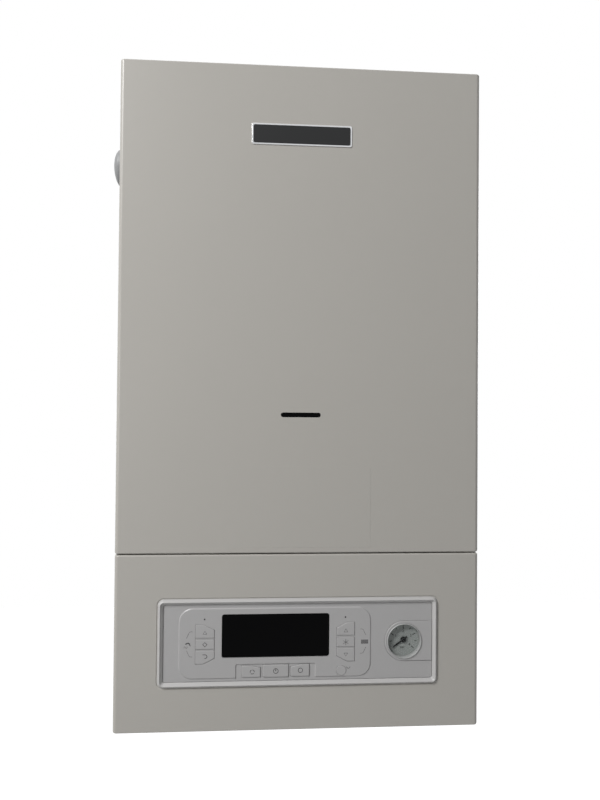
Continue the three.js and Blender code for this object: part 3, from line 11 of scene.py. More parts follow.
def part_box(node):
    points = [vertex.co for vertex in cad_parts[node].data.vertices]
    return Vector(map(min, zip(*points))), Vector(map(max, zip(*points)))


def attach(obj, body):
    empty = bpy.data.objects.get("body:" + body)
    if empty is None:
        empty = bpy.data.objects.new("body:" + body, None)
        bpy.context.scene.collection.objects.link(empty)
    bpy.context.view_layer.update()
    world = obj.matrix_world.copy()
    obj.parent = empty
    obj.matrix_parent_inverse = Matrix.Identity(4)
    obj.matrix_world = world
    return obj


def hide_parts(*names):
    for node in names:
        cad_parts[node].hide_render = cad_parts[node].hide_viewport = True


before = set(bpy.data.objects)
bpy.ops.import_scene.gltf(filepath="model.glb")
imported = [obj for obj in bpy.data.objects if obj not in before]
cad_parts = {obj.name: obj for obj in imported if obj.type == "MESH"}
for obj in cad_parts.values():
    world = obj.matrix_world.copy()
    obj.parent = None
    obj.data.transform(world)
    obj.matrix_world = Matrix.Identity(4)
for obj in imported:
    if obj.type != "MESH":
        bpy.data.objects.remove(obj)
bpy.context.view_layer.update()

# ---- Sizes of the casing ----
MM = 0.001
RAIL_HEIGHT = 675
HALF_WIDTH = 200
HEIGHT = 730
FRONT = -320
PAN_BACK = -298
SHEET = 1.2
GAP = 0.3
FOLD = 4.5
LIP = 1.9


# ---- Making pieces as by hand ----
def at(x, y, z):
    """A point of the casing, in metres in the frame of the part."""
    return Vector((x, y, z - RAIL_HEIGHT)) * MM


def deselect_all():
    for item in bpy.context.selected_objects:
        item.select_set(False)


def only(piece):
    deselect_all()
    piece.select_set(True)
    bpy.context.view_layer.objects.active = piece


def settle(piece):
    """Applies a piece's place, so that its object sits at the origin."""
    only(piece)
    bpy.ops.object.transform_apply(location=True, rotation=True, scale=True)
    return piece


def block(name, low, high):
    """A cube between two corners of the casing."""
    deselect_all()
    corner, far = at(*low), at(*high)
    bpy.ops.mesh.primitive_cube_add(size=1, location=(corner + far) / 2)
    piece = bpy.context.object
    piece.name = name
    piece.scale = far - corner
    return settle(piece)


def disc(name, x, z, back, front, radius, sides=64):
    """A cylinder with its axis along Y."""
    deselect_all()
    bpy.ops.mesh.primitive_cylinder_add(
        vertices=sides, radius=radius * MM, depth=(back - front) * MM,
        location=at(x, (back + front) / 2, z), rotation=(math.pi / 2, 0, 0))
    bpy.context.object.name = name
    return settle(bpy.context.object)


def post(name, x, y, low, high, radius, sides=48):
    """A cylinder with its axis along Z."""
    deselect_all()
    bpy.ops.mesh.primitive_cylinder_add(
        vertices=sides, radius=radius * MM, depth=(high - low) * MM, location=at(x, y, (low + high) / 2))
    bpy.context.object.name = name
    return settle(bpy.context.object)


def pick(piece, kind, test):
    """Opens a piece in edit mode with only the faces or edges that pass the test selected."""
    only(piece)
    bpy.ops.object.mode_set(mode="EDIT")
    bpy.ops.mesh.select_mode(type=kind)
    bpy.ops.mesh.select_all(action="DESELECT")
    bpy.ops.object.mode_set(mode="OBJECT")
    mesh = piece.data
    if kind == "FACE":
        for face in mesh.polygons:
            face.select = bool(test(face.center, face.normal))
    else:
        for edge in mesh.edges:
            start, end = (mesh.vertices[i].co for i in edge.vertices)
            edge.select = bool(test((start + end) / 2, (end - start).normalized()))
    bpy.ops.object.mode_set(mode="EDIT")


def done():
    bpy.ops.object.mode_set(mode="OBJECT")


def bevel_edges(piece, test, width, segments=4):
    pick(piece, "EDGE", test)
    bpy.ops.mesh.bevel(offset=width * MM, segments=segments, profile=0.5, affect="EDGES", clamp_overlap=True)
    done()
    return piece


def along_y(middle, way):
    return abs(way.y) > 0.9


def facing(axis, side=1):
    """A test for faces that look along an axis."""
    return lambda middle, normal: normal["xyz".index(axis)] * side > 0.999


def on_plane(axis, value):
    """A test for edges that lie in a plane of the casing, across the axis."""
    index = "xyz".index(axis)
    plane = at(value, value, value)[index]
    return lambda middle, way: abs(middle[index] - plane) < 1e-5 and abs(way[index]) < 0.1


def rounded_block(name, low, high, corner, edge, corner_steps=6, edge_steps=3):
    """A block with round corners seen from the front, and a soft front edge."""
    piece = block(name, low, high)
    if corner:
        bevel_edges(piece, along_y, corner, corner_steps)
    if edge:
        bevel_edges(piece, on_plane("y", low[1]), edge, edge_steps)
    return piece


def flare(piece, grow):
    """Widens the front face of a cutter, so that the hole's mouth slopes."""
    size = piece.dimensions / MM
    pick(piece, "FACE", facing("y", -1))
    bpy.ops.transform.resize(value=(1 + 2 * grow / size.x, 1, 1 + 2 * grow / size.z))
    done()
    return piece


def apply_modifier(piece, kind, **settings):
    only(piece)
    modifier = piece.modifiers.new(kind.lower(), kind)
    for key, value in settings.items():
        setattr(modifier, key, value)
    bpy.ops.object.modifier_apply(modifier=modifier.name)
    return piece


def cut(piece, *cutters):
    """Cuts shapes out of a piece and removes them."""
    return combine(piece, "DIFFERENCE", cutters)


def weld(piece, *others):
    """Joins shapes to a piece as one body."""
    return combine(piece, "UNION", others)


def combine(piece, operation, others):
    for other in others:
        apply_modifier(piece, "BOOLEAN", operation=operation, object=other, solver="EXACT")
        bpy.data.objects.remove(other)
    return piece


def soften(piece, angle=35):
    """Smooths round edges and keeps flat faces flat."""
    only(piece)
    bpy.ops.object.shade_smooth_by_angle(angle=math.radians(angle))
    return apply_modifier(piece, "WEIGHTED_NORMAL", keep_sharp=True, weight=50)


def outward(piece):
    """Merges doubles and turns all faces outwards."""
    only(piece)
    bpy.ops.object.mode_set(mode="EDIT")
    bpy.ops.mesh.select_all(action="SELECT")
    bpy.ops.mesh.remove_doubles(threshold=1e-6)
    bpy.ops.mesh.normals_make_consistent(inside=False)
    done()
    return piece


def join(name, pieces):
    """Several shapes in one object."""
    only(pieces[0])
    for piece in pieces:
        piece.select_set(True)
    bpy.ops.object.join()
    pieces[0].name = name
    return pieces[0]


def dress(piece, body, material, slot, *nodes):
    """Gives a finished piece its material and body, and hides the CAD nodes that it stands for. The slot is
    not used.
    """
    piece.data.materials.clear()
    piece.data.materials.append(material)
    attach(piece, body)
    if nodes:
        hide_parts(*nodes)
    return piece


# ---- Shared effects, as node groups ----
def new_group(name, inputs, outputs):
    """An empty shader node group with its sockets; returns the group and its two ends."""
    group = bpy.data.node_groups.new(name, "ShaderNodeTree")
    for label, kind, value in inputs:
        socket = group.interface.new_socket(label, in_out="INPUT", socket_type=kind)
        if value is not None:
            socket.default_value = value
    for label, kind in outputs:
        group.interface.new_socket(label, in_out="OUTPUT", socket_type=kind)
    return group, group.nodes.new("NodeGroupInput"), group.nodes.new("NodeGroupOutput")


def noise(group, source, scale_socket=None, scale=10, detail=2, roughness=0.5):
    node = group.nodes.new("ShaderNodeTexNoise")
    node.inputs["Scale"].default_value = scale
    node.inputs["Detail"].default_value = detail
    node.inputs["Roughness"].default_value = roughness
    group.links.new(source, node.inputs["Vector"])
    if scale_socket:
        group.links.new(scale_socket, node.inputs["Scale"])
    return node.outputs["Fac"]


def math_node(group, operation, *values, clamp=False):
    node = group.nodes.new("ShaderNodeMath")
    node.operation = operation
    node.use_clamp = clamp
    for i, value in enumerate(values):
        if isinstance(value, (int, float)):
            node.inputs[i].default_value = value
        else:
            group.links.new(value, node.inputs[i])
    return node.outputs[0]


def spread(group, value, low, high):
    """Maps a 0 to 1 value onto a range."""
    node = group.nodes.new("ShaderNodeMapRange")
    for name, end in (("To Min", low), ("To Max", high)):
        if isinstance(end, (int, float)):
            node.inputs[name].default_value = end
        else:
            group.links.new(end, node.inputs[name])
    group.links.new(value, node.inputs["Value"])
    return node.outputs["Result"]


def tinted(group, colour, shade):
    """The colour, lighter or darker by a factor near 1."""
    node = group.nodes.new("ShaderNodeVectorMath")
    node.operation = "SCALE"
    group.links.new(colour, node.inputs[0])
    group.links.new(shade, node.inputs["Scale"])
    return node.outputs[0]


def skin_group():
    """A coated or moulded skin: fine grain in the height, broad clouds in colour and gloss."""
    group, into, out = new_group("skin", [
        ("Vector", "NodeSocketVector", None), ("Color", "NodeSocketColor", (0.5, 0.5, 0.5, 1)),
        ("Grain", "NodeSocketFloat", 900), ("Cloud", "NodeSocketFloat", 0.02),
        ("Roughness", "NodeSocketFloat", 0.5), ("Sheen range", "NodeSocketFloat", 0.06),
    ], [("Color", "NodeSocketColor"), ("Roughness", "NodeSocketFloat"), ("Height", "NodeSocketFloat")])
    fine = noise(group, into.outputs["Vector"], into.outputs["Grain"], detail=3)
    broad = noise(group, into.outputs["Vector"], scale=6, detail=4, roughness=0.6)
    low = math_node(group, "SUBTRACT", 1, into.outputs["Cloud"])
    high = math_node(group, "ADD", 1, into.outputs["Cloud"])
    shade = spread(group, broad, low, high)
    group.links.new(tinted(group, into.outputs["Color"], shade), out.inputs["Color"])
    dull = math_node(group, "MULTIPLY", math_node(group, "SUBTRACT", broad, 0.5), into.outputs["Sheen range"])
    roughness = math_node(group, "ADD", into.outputs["Roughness"], dull, clamp=True)
    group.links.new(roughness, out.inputs["Roughness"])
    group.links.new(fine, out.inputs["Height"])
    return group


def brushed_group():
    """Rolled or drawn metal: streaks along one axis in colour, gloss and height."""
    group, into, out = new_group("brushed", [
        ("Vector", "NodeSocketVector", None), ("Color", "NodeSocketColor", (0.6, 0.6, 0.6, 1)),
        ("Stretch", "NodeSocketVector", (4, 400, 400)), ("Contrast", "NodeSocketFloat", 0.12),
        ("Roughness", "NodeSocketFloat", 0.35),
    ], [("Color", "NodeSocketColor"), ("Roughness", "NodeSocketFloat"), ("Height", "NodeSocketFloat")])
    stretched = group.nodes.new("ShaderNodeVectorMath")
    stretched.operation = "MULTIPLY"
    group.links.new(into.outputs["Vector"], stretched.inputs[0])
    group.links.new(into.outputs["Stretch"], stretched.inputs[1])
    streaks = noise(group, stretched.outputs[0], scale=1, detail=4, roughness=0.65)
    stains = noise(group, into.outputs["Vector"], scale=14, detail=5, roughness=0.6)
    low = math_node(group, "SUBTRACT", 1, into.outputs["Contrast"])
    high = math_node(group, "ADD", 1, into.outputs["Contrast"])
    streaked = tinted(group, into.outputs["Color"], spread(group, streaks, low, high))
    group.links.new(tinted(group, streaked, spread(group, stains, 0.9, 1.1)), out.inputs["Color"])
    dull = math_node(group, "MULTIPLY", math_node(group, "SUBTRACT", stains, 0.5), 0.25)
    roughness = math_node(group, "ADD", into.outputs["Roughness"], dull, clamp=True)
    group.links.new(roughness, out.inputs["Roughness"])
    group.links.new(streaks, out.inputs["Height"])
    return group


def cast_group():
    """Sand-cast or sprayed metal: a pebbly height with dirt in its low spots."""
    group, into, out = new_group("cast", [
        ("Vector", "NodeSocketVector", None), ("Color", "NodeSocketColor", (0.3, 0.3, 0.3, 1)),
        ("Dirt", "NodeSocketColor", (0.05, 0.045, 0.04, 1)), ("Pebble", "NodeSocketFloat", 700),
        ("Roughness", "NodeSocketFloat", 0.5),
    ], [("Color", "NodeSocketColor"), ("Roughness", "NodeSocketFloat"), ("Height", "NodeSocketFloat")])
    pebble = noise(group, into.outputs["Vector"], into.outputs["Pebble"], detail=3)
    patches = noise(group, into.outputs["Vector"], scale=35, detail=5, roughness=0.65)
    ramp = group.nodes.new("ShaderNodeValToRGB")
    ramp.color_ramp.elements[0].position = 0.3
    ramp.color_ramp.elements[0].color = (0.55, 0.55, 0.55, 1)
    ramp.color_ramp.elements[1].position = 0.62
    ramp.color_ramp.elements[1].color = (0, 0, 0, 1)
    group.links.new(patches, ramp.inputs["Fac"])
    mix = group.nodes.new("ShaderNodeMix")
    mix.data_type = "RGBA"
    group.links.new(ramp.outputs["Color"], mix.inputs["Factor"])
    group.links.new(into.outputs["Color"], mix.inputs["A"])
    group.links.new(into.outputs["Dirt"], mix.inputs["B"])
    group.links.new(mix.outputs["Result"], out.inputs["Color"])
    dull = math_node(group, "MULTIPLY", math_node(group, "SUBTRACT", patches, 0.5), -0.3)
    roughness = math_node(group, "ADD", into.outputs["Roughness"], dull, clamp=True)
    group.links.new(roughness, out.inputs["Roughness"])
    group.links.new(pebble, out.inputs["Height"])
    return group


SKIN = skin_group()
BRUSHED = brushed_group()
CAST = cast_group()


# ---- Materials ----
def srgb(red, green, blue):
    """A colour read as screen values from 0 to 255, made linear."""
    def linear(value):
        share = value / 255
        return share / 12.92 if share <= 0.04045 else ((share + 0.055) / 1.055) ** 2.4
    return (linear(red), linear(green), linear(blue), 1)


def material_of(name, group, colour, roughness, metallic=0, bump=0.1, bump_size=0.0002, **settings):
    """A material whose colour, gloss and height come from one of the shared effects."""
    material = bpy.data.materials.new(name)
    material.use_nodes = True
    material.diffuse_color = colour
    tree = material.node_tree
    shader = tree.nodes["Principled BSDF"]
    shader.inputs["Metallic"].default_value = metallic
    place = tree.nodes.new("ShaderNodeTexCoord")
    effect = tree.nodes.new("ShaderNodeGroup")
    effect.node_tree = group
    tree.links.new(place.outputs["Object"], effect.inputs["Vector"])
    effect.inputs["Color"].default_value = colour
    effect.inputs["Roughness"].default_value = roughness
    for key, value in settings.items():
        label = key.replace("_", " ").capitalize()
        if label in effect.inputs:
            effect.inputs[label].default_value = value
        else:
            shader.inputs[key.replace("_", " ").title().replace("Ior", "IOR")].default_value = value
    tree.links.new(effect.outputs["Color"], shader.inputs["Base Color"])
    tree.links.new(effect.outputs["Roughness"], shader.inputs["Roughness"])
    relief = tree.nodes.new("ShaderNodeBump")
    relief.inputs["Strength"].default_value = bump
    relief.inputs["Distance"].default_value = bump_size
    tree.links.new(effect.outputs["Height"], relief.inputs["Height"])
    tree.links.new(relief.outputs["Normal"], shader.inputs["Normal"])
    return material


PAINT = material_of("white_powder_coat", SKIN, srgb(178, 175, 169), 0.34, grain=700, cloud=0.015, bump=0.12)
PALE = material_of("pale_moulding", SKIN, srgb(173, 172, 172), 0.38, grain=1600, cloud=0.012, bump=0.1)
# The bezel is the same pale plastic as the keypad plate, painted lighter: painted light on its rim bands.
PAINTED_LIGHT_BEZEL = material_of("bezel_moulding_painted_lighter", SKIN, srgb(186, 185, 184), 0.38, grain=1600, cloud=0.012, bump=0.1)
GREY = material_of("grey_moulding", SKIN, srgb(142, 143, 144), 0.48, grain=1300, cloud=0.02)
BLACK = material_of("black_moulding", SKIN, srgb(22, 23, 24), 0.45, grain=1400, cloud=0.08,
                    specular_ior_level=0.3)
RED = material_of("red_moulding", SKIN, srgb(178, 34, 28), 0.38, grain=1300, cloud=0.04)
VESSEL_RED = material_of("vessel_paint", SKIN, srgb(158, 32, 28), 0.34, grain=500, cloud=0.05, bump=0.2)
WINDOW = material_of("smoked_window", SKIN, srgb(5, 5, 6), 0.12, grain=300, cloud=0.1, bump=0.01,
                     specular_ior_level=0.03)
RUBBER = material_of("seal_rubber", SKIN, srgb(38, 38, 38), 0.8, grain=900, cloud=0.1, bump=0.3)
CERAMIC = material_of("ceramic_sleeve", SKIN, srgb(232, 228, 216), 0.55, grain=800, cloud=0.03)
BOARD = material_of("circuit_board", SKIN, srgb(42, 104, 58), 0.4, grain=260, cloud=0.12)
DIAL = material_of("dial_enamel", SKIN, srgb(158, 163, 160), 0.45, grain=1500, cloud=0.02)
PRINT = material_of("grey_print", SKIN, srgb(66, 66, 66), 0.6, grain=1500, cloud=0.02)
INK = material_of("black_print", SKIN, srgb(14, 15, 15), 0.6, grain=1500, cloud=0.02, specular_ior_level=0.1)
FILM = material_of("label_film", SKIN, srgb(178, 175, 169), 0.3, grain=900, cloud=0.01, bump=0.04)
RING = material_of("gauge_ring", SKIN, srgb(178, 179, 178), 0.3, grain=1200, cloud=0.01, bump=0.03)
ZINC = material_of("galvanised_sheet", BRUSHED, srgb(178, 181, 182), 0.42, 0.85, 0.1, stretch=(60, 60, 60))
STEEL = material_of("stainless_sheet", BRUSHED, srgb(196, 198, 198), 0.3, 1, 0.08)
SILVER = material_of("bright_trim", BRUSHED, srgb(205, 206, 208), 0.22, 1, 0.03)
COPPER = material_of("copper_tube", BRUSHED, srgb(186, 112, 72), 0.28, 1, 0.06, contrast=0.18)
ALLOY = material_of("cast_alloy", CAST, srgb(196, 198, 200), 0.45, 0.9, 0.3, 0.0004, dirt=srgb(120, 120, 120))
BRASS = material_of("forged_brass", CAST, srgb(186, 150, 84), 0.34, 0.95, 0.2, 0.0003, dirt=srgb(120, 90, 50))
IRON = material_of("painted_iron", CAST, srgb(48, 52, 56), 0.42, 0.1, 0.4, 0.0005)


def clear_material():
    material = bpy.data.materials.new("clear_window")
    material.use_nodes = True
    shader = material.node_tree.nodes["Principled BSDF"]
    shader.inputs["Base Color"].default_value = (0.1, 0.11, 0.11, 1)
    shader.inputs["Roughness"].default_value = 0.05
    shader.inputs["IOR"].default_value = 1.46
    shader.inputs["Alpha"].default_value = 0.08
    return material


CLEAR = clear_material()


# ---- Finishes of the CAD nodes that stay ----
NODE_FINISHES = {
    ZINC: ["wall_rail", "back_frame", "door_liner", "air_box", "flue_hood"],
    PAINT: ["front_door", "side_panel_left", "side_panel_right", "top_panel", "fascia_panel"],
    GREY: ["side_cap", "control_box"],
    BLACK: ["flue_collar", "diverter_motor", "air_vent", "gauge_needle", "filling_tap_knob"],
    STEEL: ["hinge_pin_left", "hinge_pin_right", "combustion_chamber", "burner", "fan_housing",
            "plate_exchanger"],
    WINDOW: ["sight_window", "display_window"],
    PALE: ["control_bezel", "keypad_plate", "gauge_holder", "gauge_case", "pressure_switch"],
    ALLOY: ["gas_manifold", "fan_impeller", "pump_motor", "gas_valve"],
    IRON: ["fan_motor", "pump_body"],
    COPPER: ["heat_exchanger", "gas_pipe", "flow_pipe", "return_pipe"],
    BRASS: ["diverter_block", "return_block"],
    VESSEL_RED: ["expansion_vessel"],
    RED: ["safety_valve_knob"],
    CERAMIC: ["electrode_block"],
    BOARD: ["control_board"],
    DIAL: ["gauge_dial"],
    CLEAR: ["gauge_glass"],
    RUBBER: ["door_seal"],
}


def finish_nodes():
    for material, names in NODE_FINISHES.items():
        for name in names:
            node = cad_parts[name]
            node.data.materials.clear()
            node.data.materials.append(material)
    for name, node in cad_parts.items():
        if name.startswith("key_") or name == "round_button":
            node.data.materials.clear()
            node.data.materials.append(PALE)


finish_nodes()


# ---- Casing ----
SIGHT_HEIGHT = 343.3
SIGHT_LENGTH = 44
SIGHT_WIDTH = 5.2
HOOK_TAB_FACE = -298.8


def node_edge(node, axis, side):
    """A face of a CAD node's box in casing millimetres; side is 0 for the lowest and 1 for the highest."""
    index = "xyz".index(axis)
    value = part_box(node)[side][index] / MM
    return value + RAIL_HEIGHT if axis == "z" else value


def slot_cutter(x, z, length, width, back, front):
    """A long slot with round ends, seen from the front."""
    cutter = block("slot_cutter", (x - length / 2, front, z - width / 2),
                   (x + length / 2, back, z + width / 2))
    return bevel_edges(cutter, along_y, width / 2 - 0.01, 8)


def folded_pan(name, low, high):
    """A sheet-steel cover, open at its back: round folds at its sides, tighter ones above and below."""
    pan = block(name, (-HALF_WIDTH, FRONT, low), (HALF_WIDTH, PAN_BACK, high))
    bevel_edges(pan, lambda middle, way: abs(way.z) > 0.9 and middle.y < at(0, FRONT + 1, 0).y, FOLD, 8)
    for plane in (low, high):
        ends = on_plane("z", plane)
        bevel_edges(pan, lambda middle, way: ends(middle, way) and middle.y < at(0, FRONT + FOLD, 0).y,
                    LIP, 4)
    pick(pan, "FACE", facing("y"))
    bpy.ops.mesh.delete(type="FACE")
    done()
    return apply_modifier(pan, "SOLIDIFY", thickness=SHEET * MM, offset=-1, use_even_offset=True)


def door():
    pan = folded_pan("door_cover", node_edge("front_door", "z", 0), HEIGHT)
    cut(pan, slot_cutter(0, SIGHT_HEIGHT, SIGHT_LENGTH, SIGHT_WIDTH, FRONT + 5, FRONT - 5))
    for side in (-1, 1):
        near, far = sorted((side * 181.8, side * (HALF_WIDTH - SHEET / 2)))
        tab = block("tab", (near, HOOK_TAB_FACE - SHEET, 706), (far, HOOK_TAB_FACE, 726))
        weld(pan, bevel_edges(tab, along_y, 2, 3))
    dress(soften(pan), "door", PAINT, "white_paint", "front_door")


def fascia():
    pan = folded_pan("fascia_cover", 0, node_edge("fascia_panel", "z", 1))
    opening = block("opening", (BEZEL_LEFT + BEZEL_STEP, FRONT - 5, BEZEL_LOW + BEZEL_STEP),
                    (BEZEL_RIGHT - BEZEL_STEP, FRONT + 5, BEZEL_HIGH - BEZEL_STEP))
    notch = block("notch", (-HALF_WIDTH - 1, -312.5, -1), (HALF_WIDTH + 1, PAN_BACK + 1, 12))
    cut(pan, bevel_edges(opening, along_y, 4, 4), notch, bezel_recess())
    for side in (-1, 1):
        near, far = sorted((side * 188.1, side * 190.6))
        ear = block("ear", (near, FRONT + SHEET / 2, SHEET / 2), (far, PAN_BACK - SHEET / 2, 12 - SHEET / 2))
        bevel_edges(ear, lambda middle, way: abs(way.x) > 0.9 and middle.y > at(0, PAN_BACK - 1, 0).y, 5.2, 6)
        hole = block("hole", (near - 1, -304 - 2.8, 6 - 2.8), (far + 1, -304 + 2.8, 6 + 2.8))
        bevel_edges(hole, lambda middle, way: abs(way.x) > 0.9, 2.79, 6)
        weld(pan, cut(ear, hole))
    dress(soften(pan), "control_panel", PAINT, "white_paint", "fascia_panel")


def bezel_recess():
    """The shallow pressing with sloped sides in which the control bezel sits."""
    recess = block("recess", (BEZEL_LEFT - 0.5, FRONT - 0.6, BEZEL_LOW - 0.5),
                   (BEZEL_RIGHT + 0.5, FRONT + 0.6, BEZEL_HIGH + 0.5))
    return flare(bevel_edges(recess, along_y, 7.5, 8), 1.2)


# ---- Control bezel and keypad ----
BEZEL_LEFT, BEZEL_RIGHT = -153, 154
BEZEL_LOW, BEZEL_HIGH = 47.55, 143.05
BEZEL_STEP = 2.4
BEZEL_RIM = 6
BEZEL_BACK = -309
FIELD_FACE = -319.5
FIELD_BACK = -316.9
RAISED_FACE = -320.4
RAISED_LEFT, RAISED_RIGHT = -130.4, 79.5
RAISED_LOW, RAISED_HIGH = 56.6, 133
NOTCH_LEFT, NOTCH_RIGHT, NOTCH_HIGH = -68, 17.7, 71.5
INSERT_FACE = -320.3


def bezel():
    """A frame whose section rises to a crest and falls to a low lip with a chamfered inner edge."""
    frame_piece = block("bezel_frame", (BEZEL_LEFT, FRONT + 0.3, BEZEL_LOW),
                        (BEZEL_RIGHT, FRONT + 0.5, BEZEL_HIGH))
    bevel_edges(frame_piece, along_y, 7, 10)
    pick(frame_piece, "FACE", facing("y", -1))
    for inward, rise in RIM_STEPS:
        bpy.ops.mesh.inset(thickness=inward * MM, depth=rise * MM, use_even_offset=True)
    done()
    opening = block("opening", (BEZEL_LEFT + BEZEL_RIM, FRONT - 9, BEZEL_LOW + BEZEL_RIM),
                    (BEZEL_RIGHT - BEZEL_RIM, BEZEL_BACK + 1, BEZEL_HIGH - BEZEL_RIM))
    mouth = block("mouth", (BEZEL_LEFT + BEZEL_RIM, FRONT - 2, BEZEL_LOW + BEZEL_RIM),
                  (BEZEL_RIGHT - BEZEL_RIM, FRONT - 0.1, BEZEL_HIGH - BEZEL_RIM))
    throat = block("throat", (BEZEL_LEFT + BEZEL_STEP + GAP, FRONT + 0.4, BEZEL_LOW + BEZEL_STEP + GAP),
                   (BEZEL_RIGHT - BEZEL_STEP - GAP, BEZEL_BACK, BEZEL_HIGH - BEZEL_STEP - GAP))
    weld(frame_piece, bevel_edges(throat, along_y, 4.3, 6))
    cut(frame_piece, bevel_edges(opening, along_y, 2.5, 5), flare(bevel_edges(mouth, along_y, 2.5, 5), 1.9))
    # The bezel gets the pale plastic painted lighter, as painted light on its rim.
    dress(soften(frame_piece, 30), "control_panel", PAINTED_LIGHT_BEZEL, "pale_plastic", "control_bezel")


# The bezel's section, from its outer edge: pairs of a step inward and a step to the front.
RIM_STEPS = [(0.25, 0.4), (0.9, 1.3), (0.8, 0.95), (0.6, 0.5), (0.3, 0.14),
             (0.5, -0.25), (0.9, -1.1), (0.4, -0.3)]


def keypad():
    """The moulded plate, its raised field with the notch for three keys, and the holes."""
    low, high = BEZEL_LOW + BEZEL_RIM + GAP, BEZEL_HIGH - BEZEL_RIM - GAP
    left, right = BEZEL_LEFT + BEZEL_RIM + GAP, BEZEL_RIGHT - BEZEL_RIM - GAP
    plate = rounded_block("keypad_plate_skin", (left, FIELD_FACE, low), (right, FIELD_BACK, high),
                          2.2, 0.25, 4, 2)
    field = block("field", (RAISED_LEFT, FIELD_FACE - 0.05, RAISED_LOW),
                  (RAISED_RIGHT, FIELD_FACE + 0.5, RAISED_HIGH))
    bevel_edges(field, along_y, 15, 14)
    pick(field, "FACE", facing("y", -1))
    bpy.ops.mesh.inset(thickness=1.1 * MM, depth=(FIELD_FACE - 0.05 - RAISED_FACE) * MM, use_even_offset=True)
    done()
    notch = block("notch", (NOTCH_LEFT, RAISED_FACE - 0.1, 50), (NOTCH_RIGHT, FIELD_FACE, NOTCH_HIGH))
    bevel_edges(notch, along_y, 1.5, 4)
    cut(field, flare(notch, 1))
    weld(plate, field)
    cutters = [key_block(key, KEY_GAP, FIELD_BACK + 1, RAISED_FACE - 1) for key in KEYS]
    cutters.append(disc("hole", BUTTON_X, BUTTON_Z, FIELD_BACK + 1, RAISED_FACE - 1, BUTTON_RADIUS + KEY_GAP))
    cutters.append(display_block("hole", GAP, FIELD_BACK + 1, RAISED_FACE - 1))
    cutters.append(holder_block("hole", GAP, FIELD_BACK + 1, RAISED_FACE - 1))
    cut(plate, *cutters)
    dress(soften(plate, 30), "control_panel", PALE, "pale_plastic", "keypad_plate")


# Each key: place, size, drop of its slanted corner, whether the slant is up, and the side of its point.
KEYS = [
    ("left_up", -102, 108.2, 20.6, 14.6, 6, 1, -1), ("left_middle", -102, 94.15, 20.6, 10.5, 0, 1, -1),
    ("left_down", -102, 80.35, 20.6, 14.7, 6, -1, -1), ("right_up", 51.45, 109, 19.9, 14.4, 6, 1, 1),
    ("right_middle", 51.45, 94.55, 19.9, 10.5, 0, 1, 1), ("right_down", 51.45, 80.75, 19.9, 14.5, 6, -1, 1),
    ("bottom_left", -51.8, 64.3, 20.4, 12.6, 2.5, 1, -1), ("bottom_middle", -25, 64.45, 28, 13.4, 0, 1, -1),
    ("bottom_right", 1.4, 64.6, 20.6, 13, 2.5, 1, 1),
]
KEY_GAP = 0.2
KEY_FACE = -320.7
KEY_KNEE = 0.42
KEY_SHOULDER = -316.6
KEY_BACK = -315.6
BUTTON_X, BUTTON_Z, BUTTON_RADIUS = 46.7, 63.6, 5.5


def key_block(key, grow, back, front):
    """The key's prism: a block with one corner cut off by a slant."""
    name, x, z, width, height, drop, up, point = key
    half, tall = width / 2 + grow, height / 2 + grow
    piece = block("key_" + name, (x - half, front, z - tall), (x + half, back, z + tall))
    if drop:
        knee = Vector((x + point * (half - 2 * half * KEY_KNEE), front, z + up * tall))
        end = Vector((x - point * half, front, z + up * (tall - drop)))
        slant = (end - knee).normalized()
        across = Vector((slant.z, 0, -slant.x)) * (1 if (slant.z * -point) > 0 else -1)
        if across.z * up < 0:
            across = -across
        pick(piece, "FACE", lambda centre, normal: True)
        bpy.ops.mesh.bisect(plane_co=at(*knee), plane_no=across, use_fill=True, clear_outer=True)
        done()
    return piece


def key_cap(key):
    name = key[0]
    cap = key_block(key, 0, KEY_SHOULDER, KEY_FACE)
    bevel_edges(cap, along_y, 1.1, 4)
    bevel_edges(cap, on_plane("y", KEY_FACE), 0.8, 4)
    pick(cap, "FACE", facing("y"))
    bpy.ops.mesh.extrude_region_move()
    bpy.ops.transform.resize(value=(1 + 1.2 / key[3], 1, 1 + 1.2 / key[4]))
    bpy.ops.mesh.extrude_region_move(TRANSFORM_OT_translate={"value": (0, (KEY_BACK - KEY_SHOULDER) * MM, 0)})
    done()
    dress(soften(outward(cap), 30), "key_" + name, PALE, "pale_plastic", "key_" + name)
    cap.name = "key_cap_" + name


def round_button():
    cap = disc("round_button_cap", BUTTON_X, BUTTON_Z, KEY_SHOULDER, KEY_FACE, BUTTON_RADIUS, 40)
    bevel_edges(cap, on_plane("y", KEY_FACE), 0.5, 3)
    pick(cap, "FACE", facing("y", -1))
    bpy.ops.mesh.inset(thickness=1.2 * MM, depth=0)
    bpy.ops.mesh.inset(thickness=0.6 * MM, depth=-0.15 * MM)
    done()
    pick(cap, "FACE", facing("y"))
    bpy.ops.mesh.extrude_region_move()
    bpy.ops.transform.resize(value=(1.18, 1, 1.18))
    bpy.ops.mesh.extrude_region_move(TRANSFORM_OT_translate={"value": (0, (KEY_BACK - KEY_SHOULDER) * MM, 0)})
    done()
    dress(soften(outward(cap), 30), "round_button", PALE, "pale_plastic", "round_button")


DISPLAY_LEFT, DISPLAY_RIGHT = -83.65, 33.05
DISPLAY_LOW, DISPLAY_HIGH = 79.55, 126.05
DISPLAY_FACE, DISPLAY_BACK = -320.2, -310.5


def display_block(name, grow, back, front):
    piece = block(name, (DISPLAY_LEFT - grow, front, DISPLAY_LOW - grow),
                  (DISPLAY_RIGHT + grow, back, DISPLAY_HIGH + grow))
    return bevel_edges(piece, along_y, 2.5 + grow, 6)


def display():
    pane = display_block("display_pane", -GAP, DISPLAY_BACK, DISPLAY_FACE)
    bevel_edges(pane, on_plane("y", DISPLAY_FACE), 0.5, 3)
    dress(soften(pane, 30), "control_panel", WINDOW, "black_glass", "display_window")


# ---- Pressure gauge ----
GAUGE_X, GAUGE_Z = 116.6, 94.6
HOLDER_RADIUS = 21.9
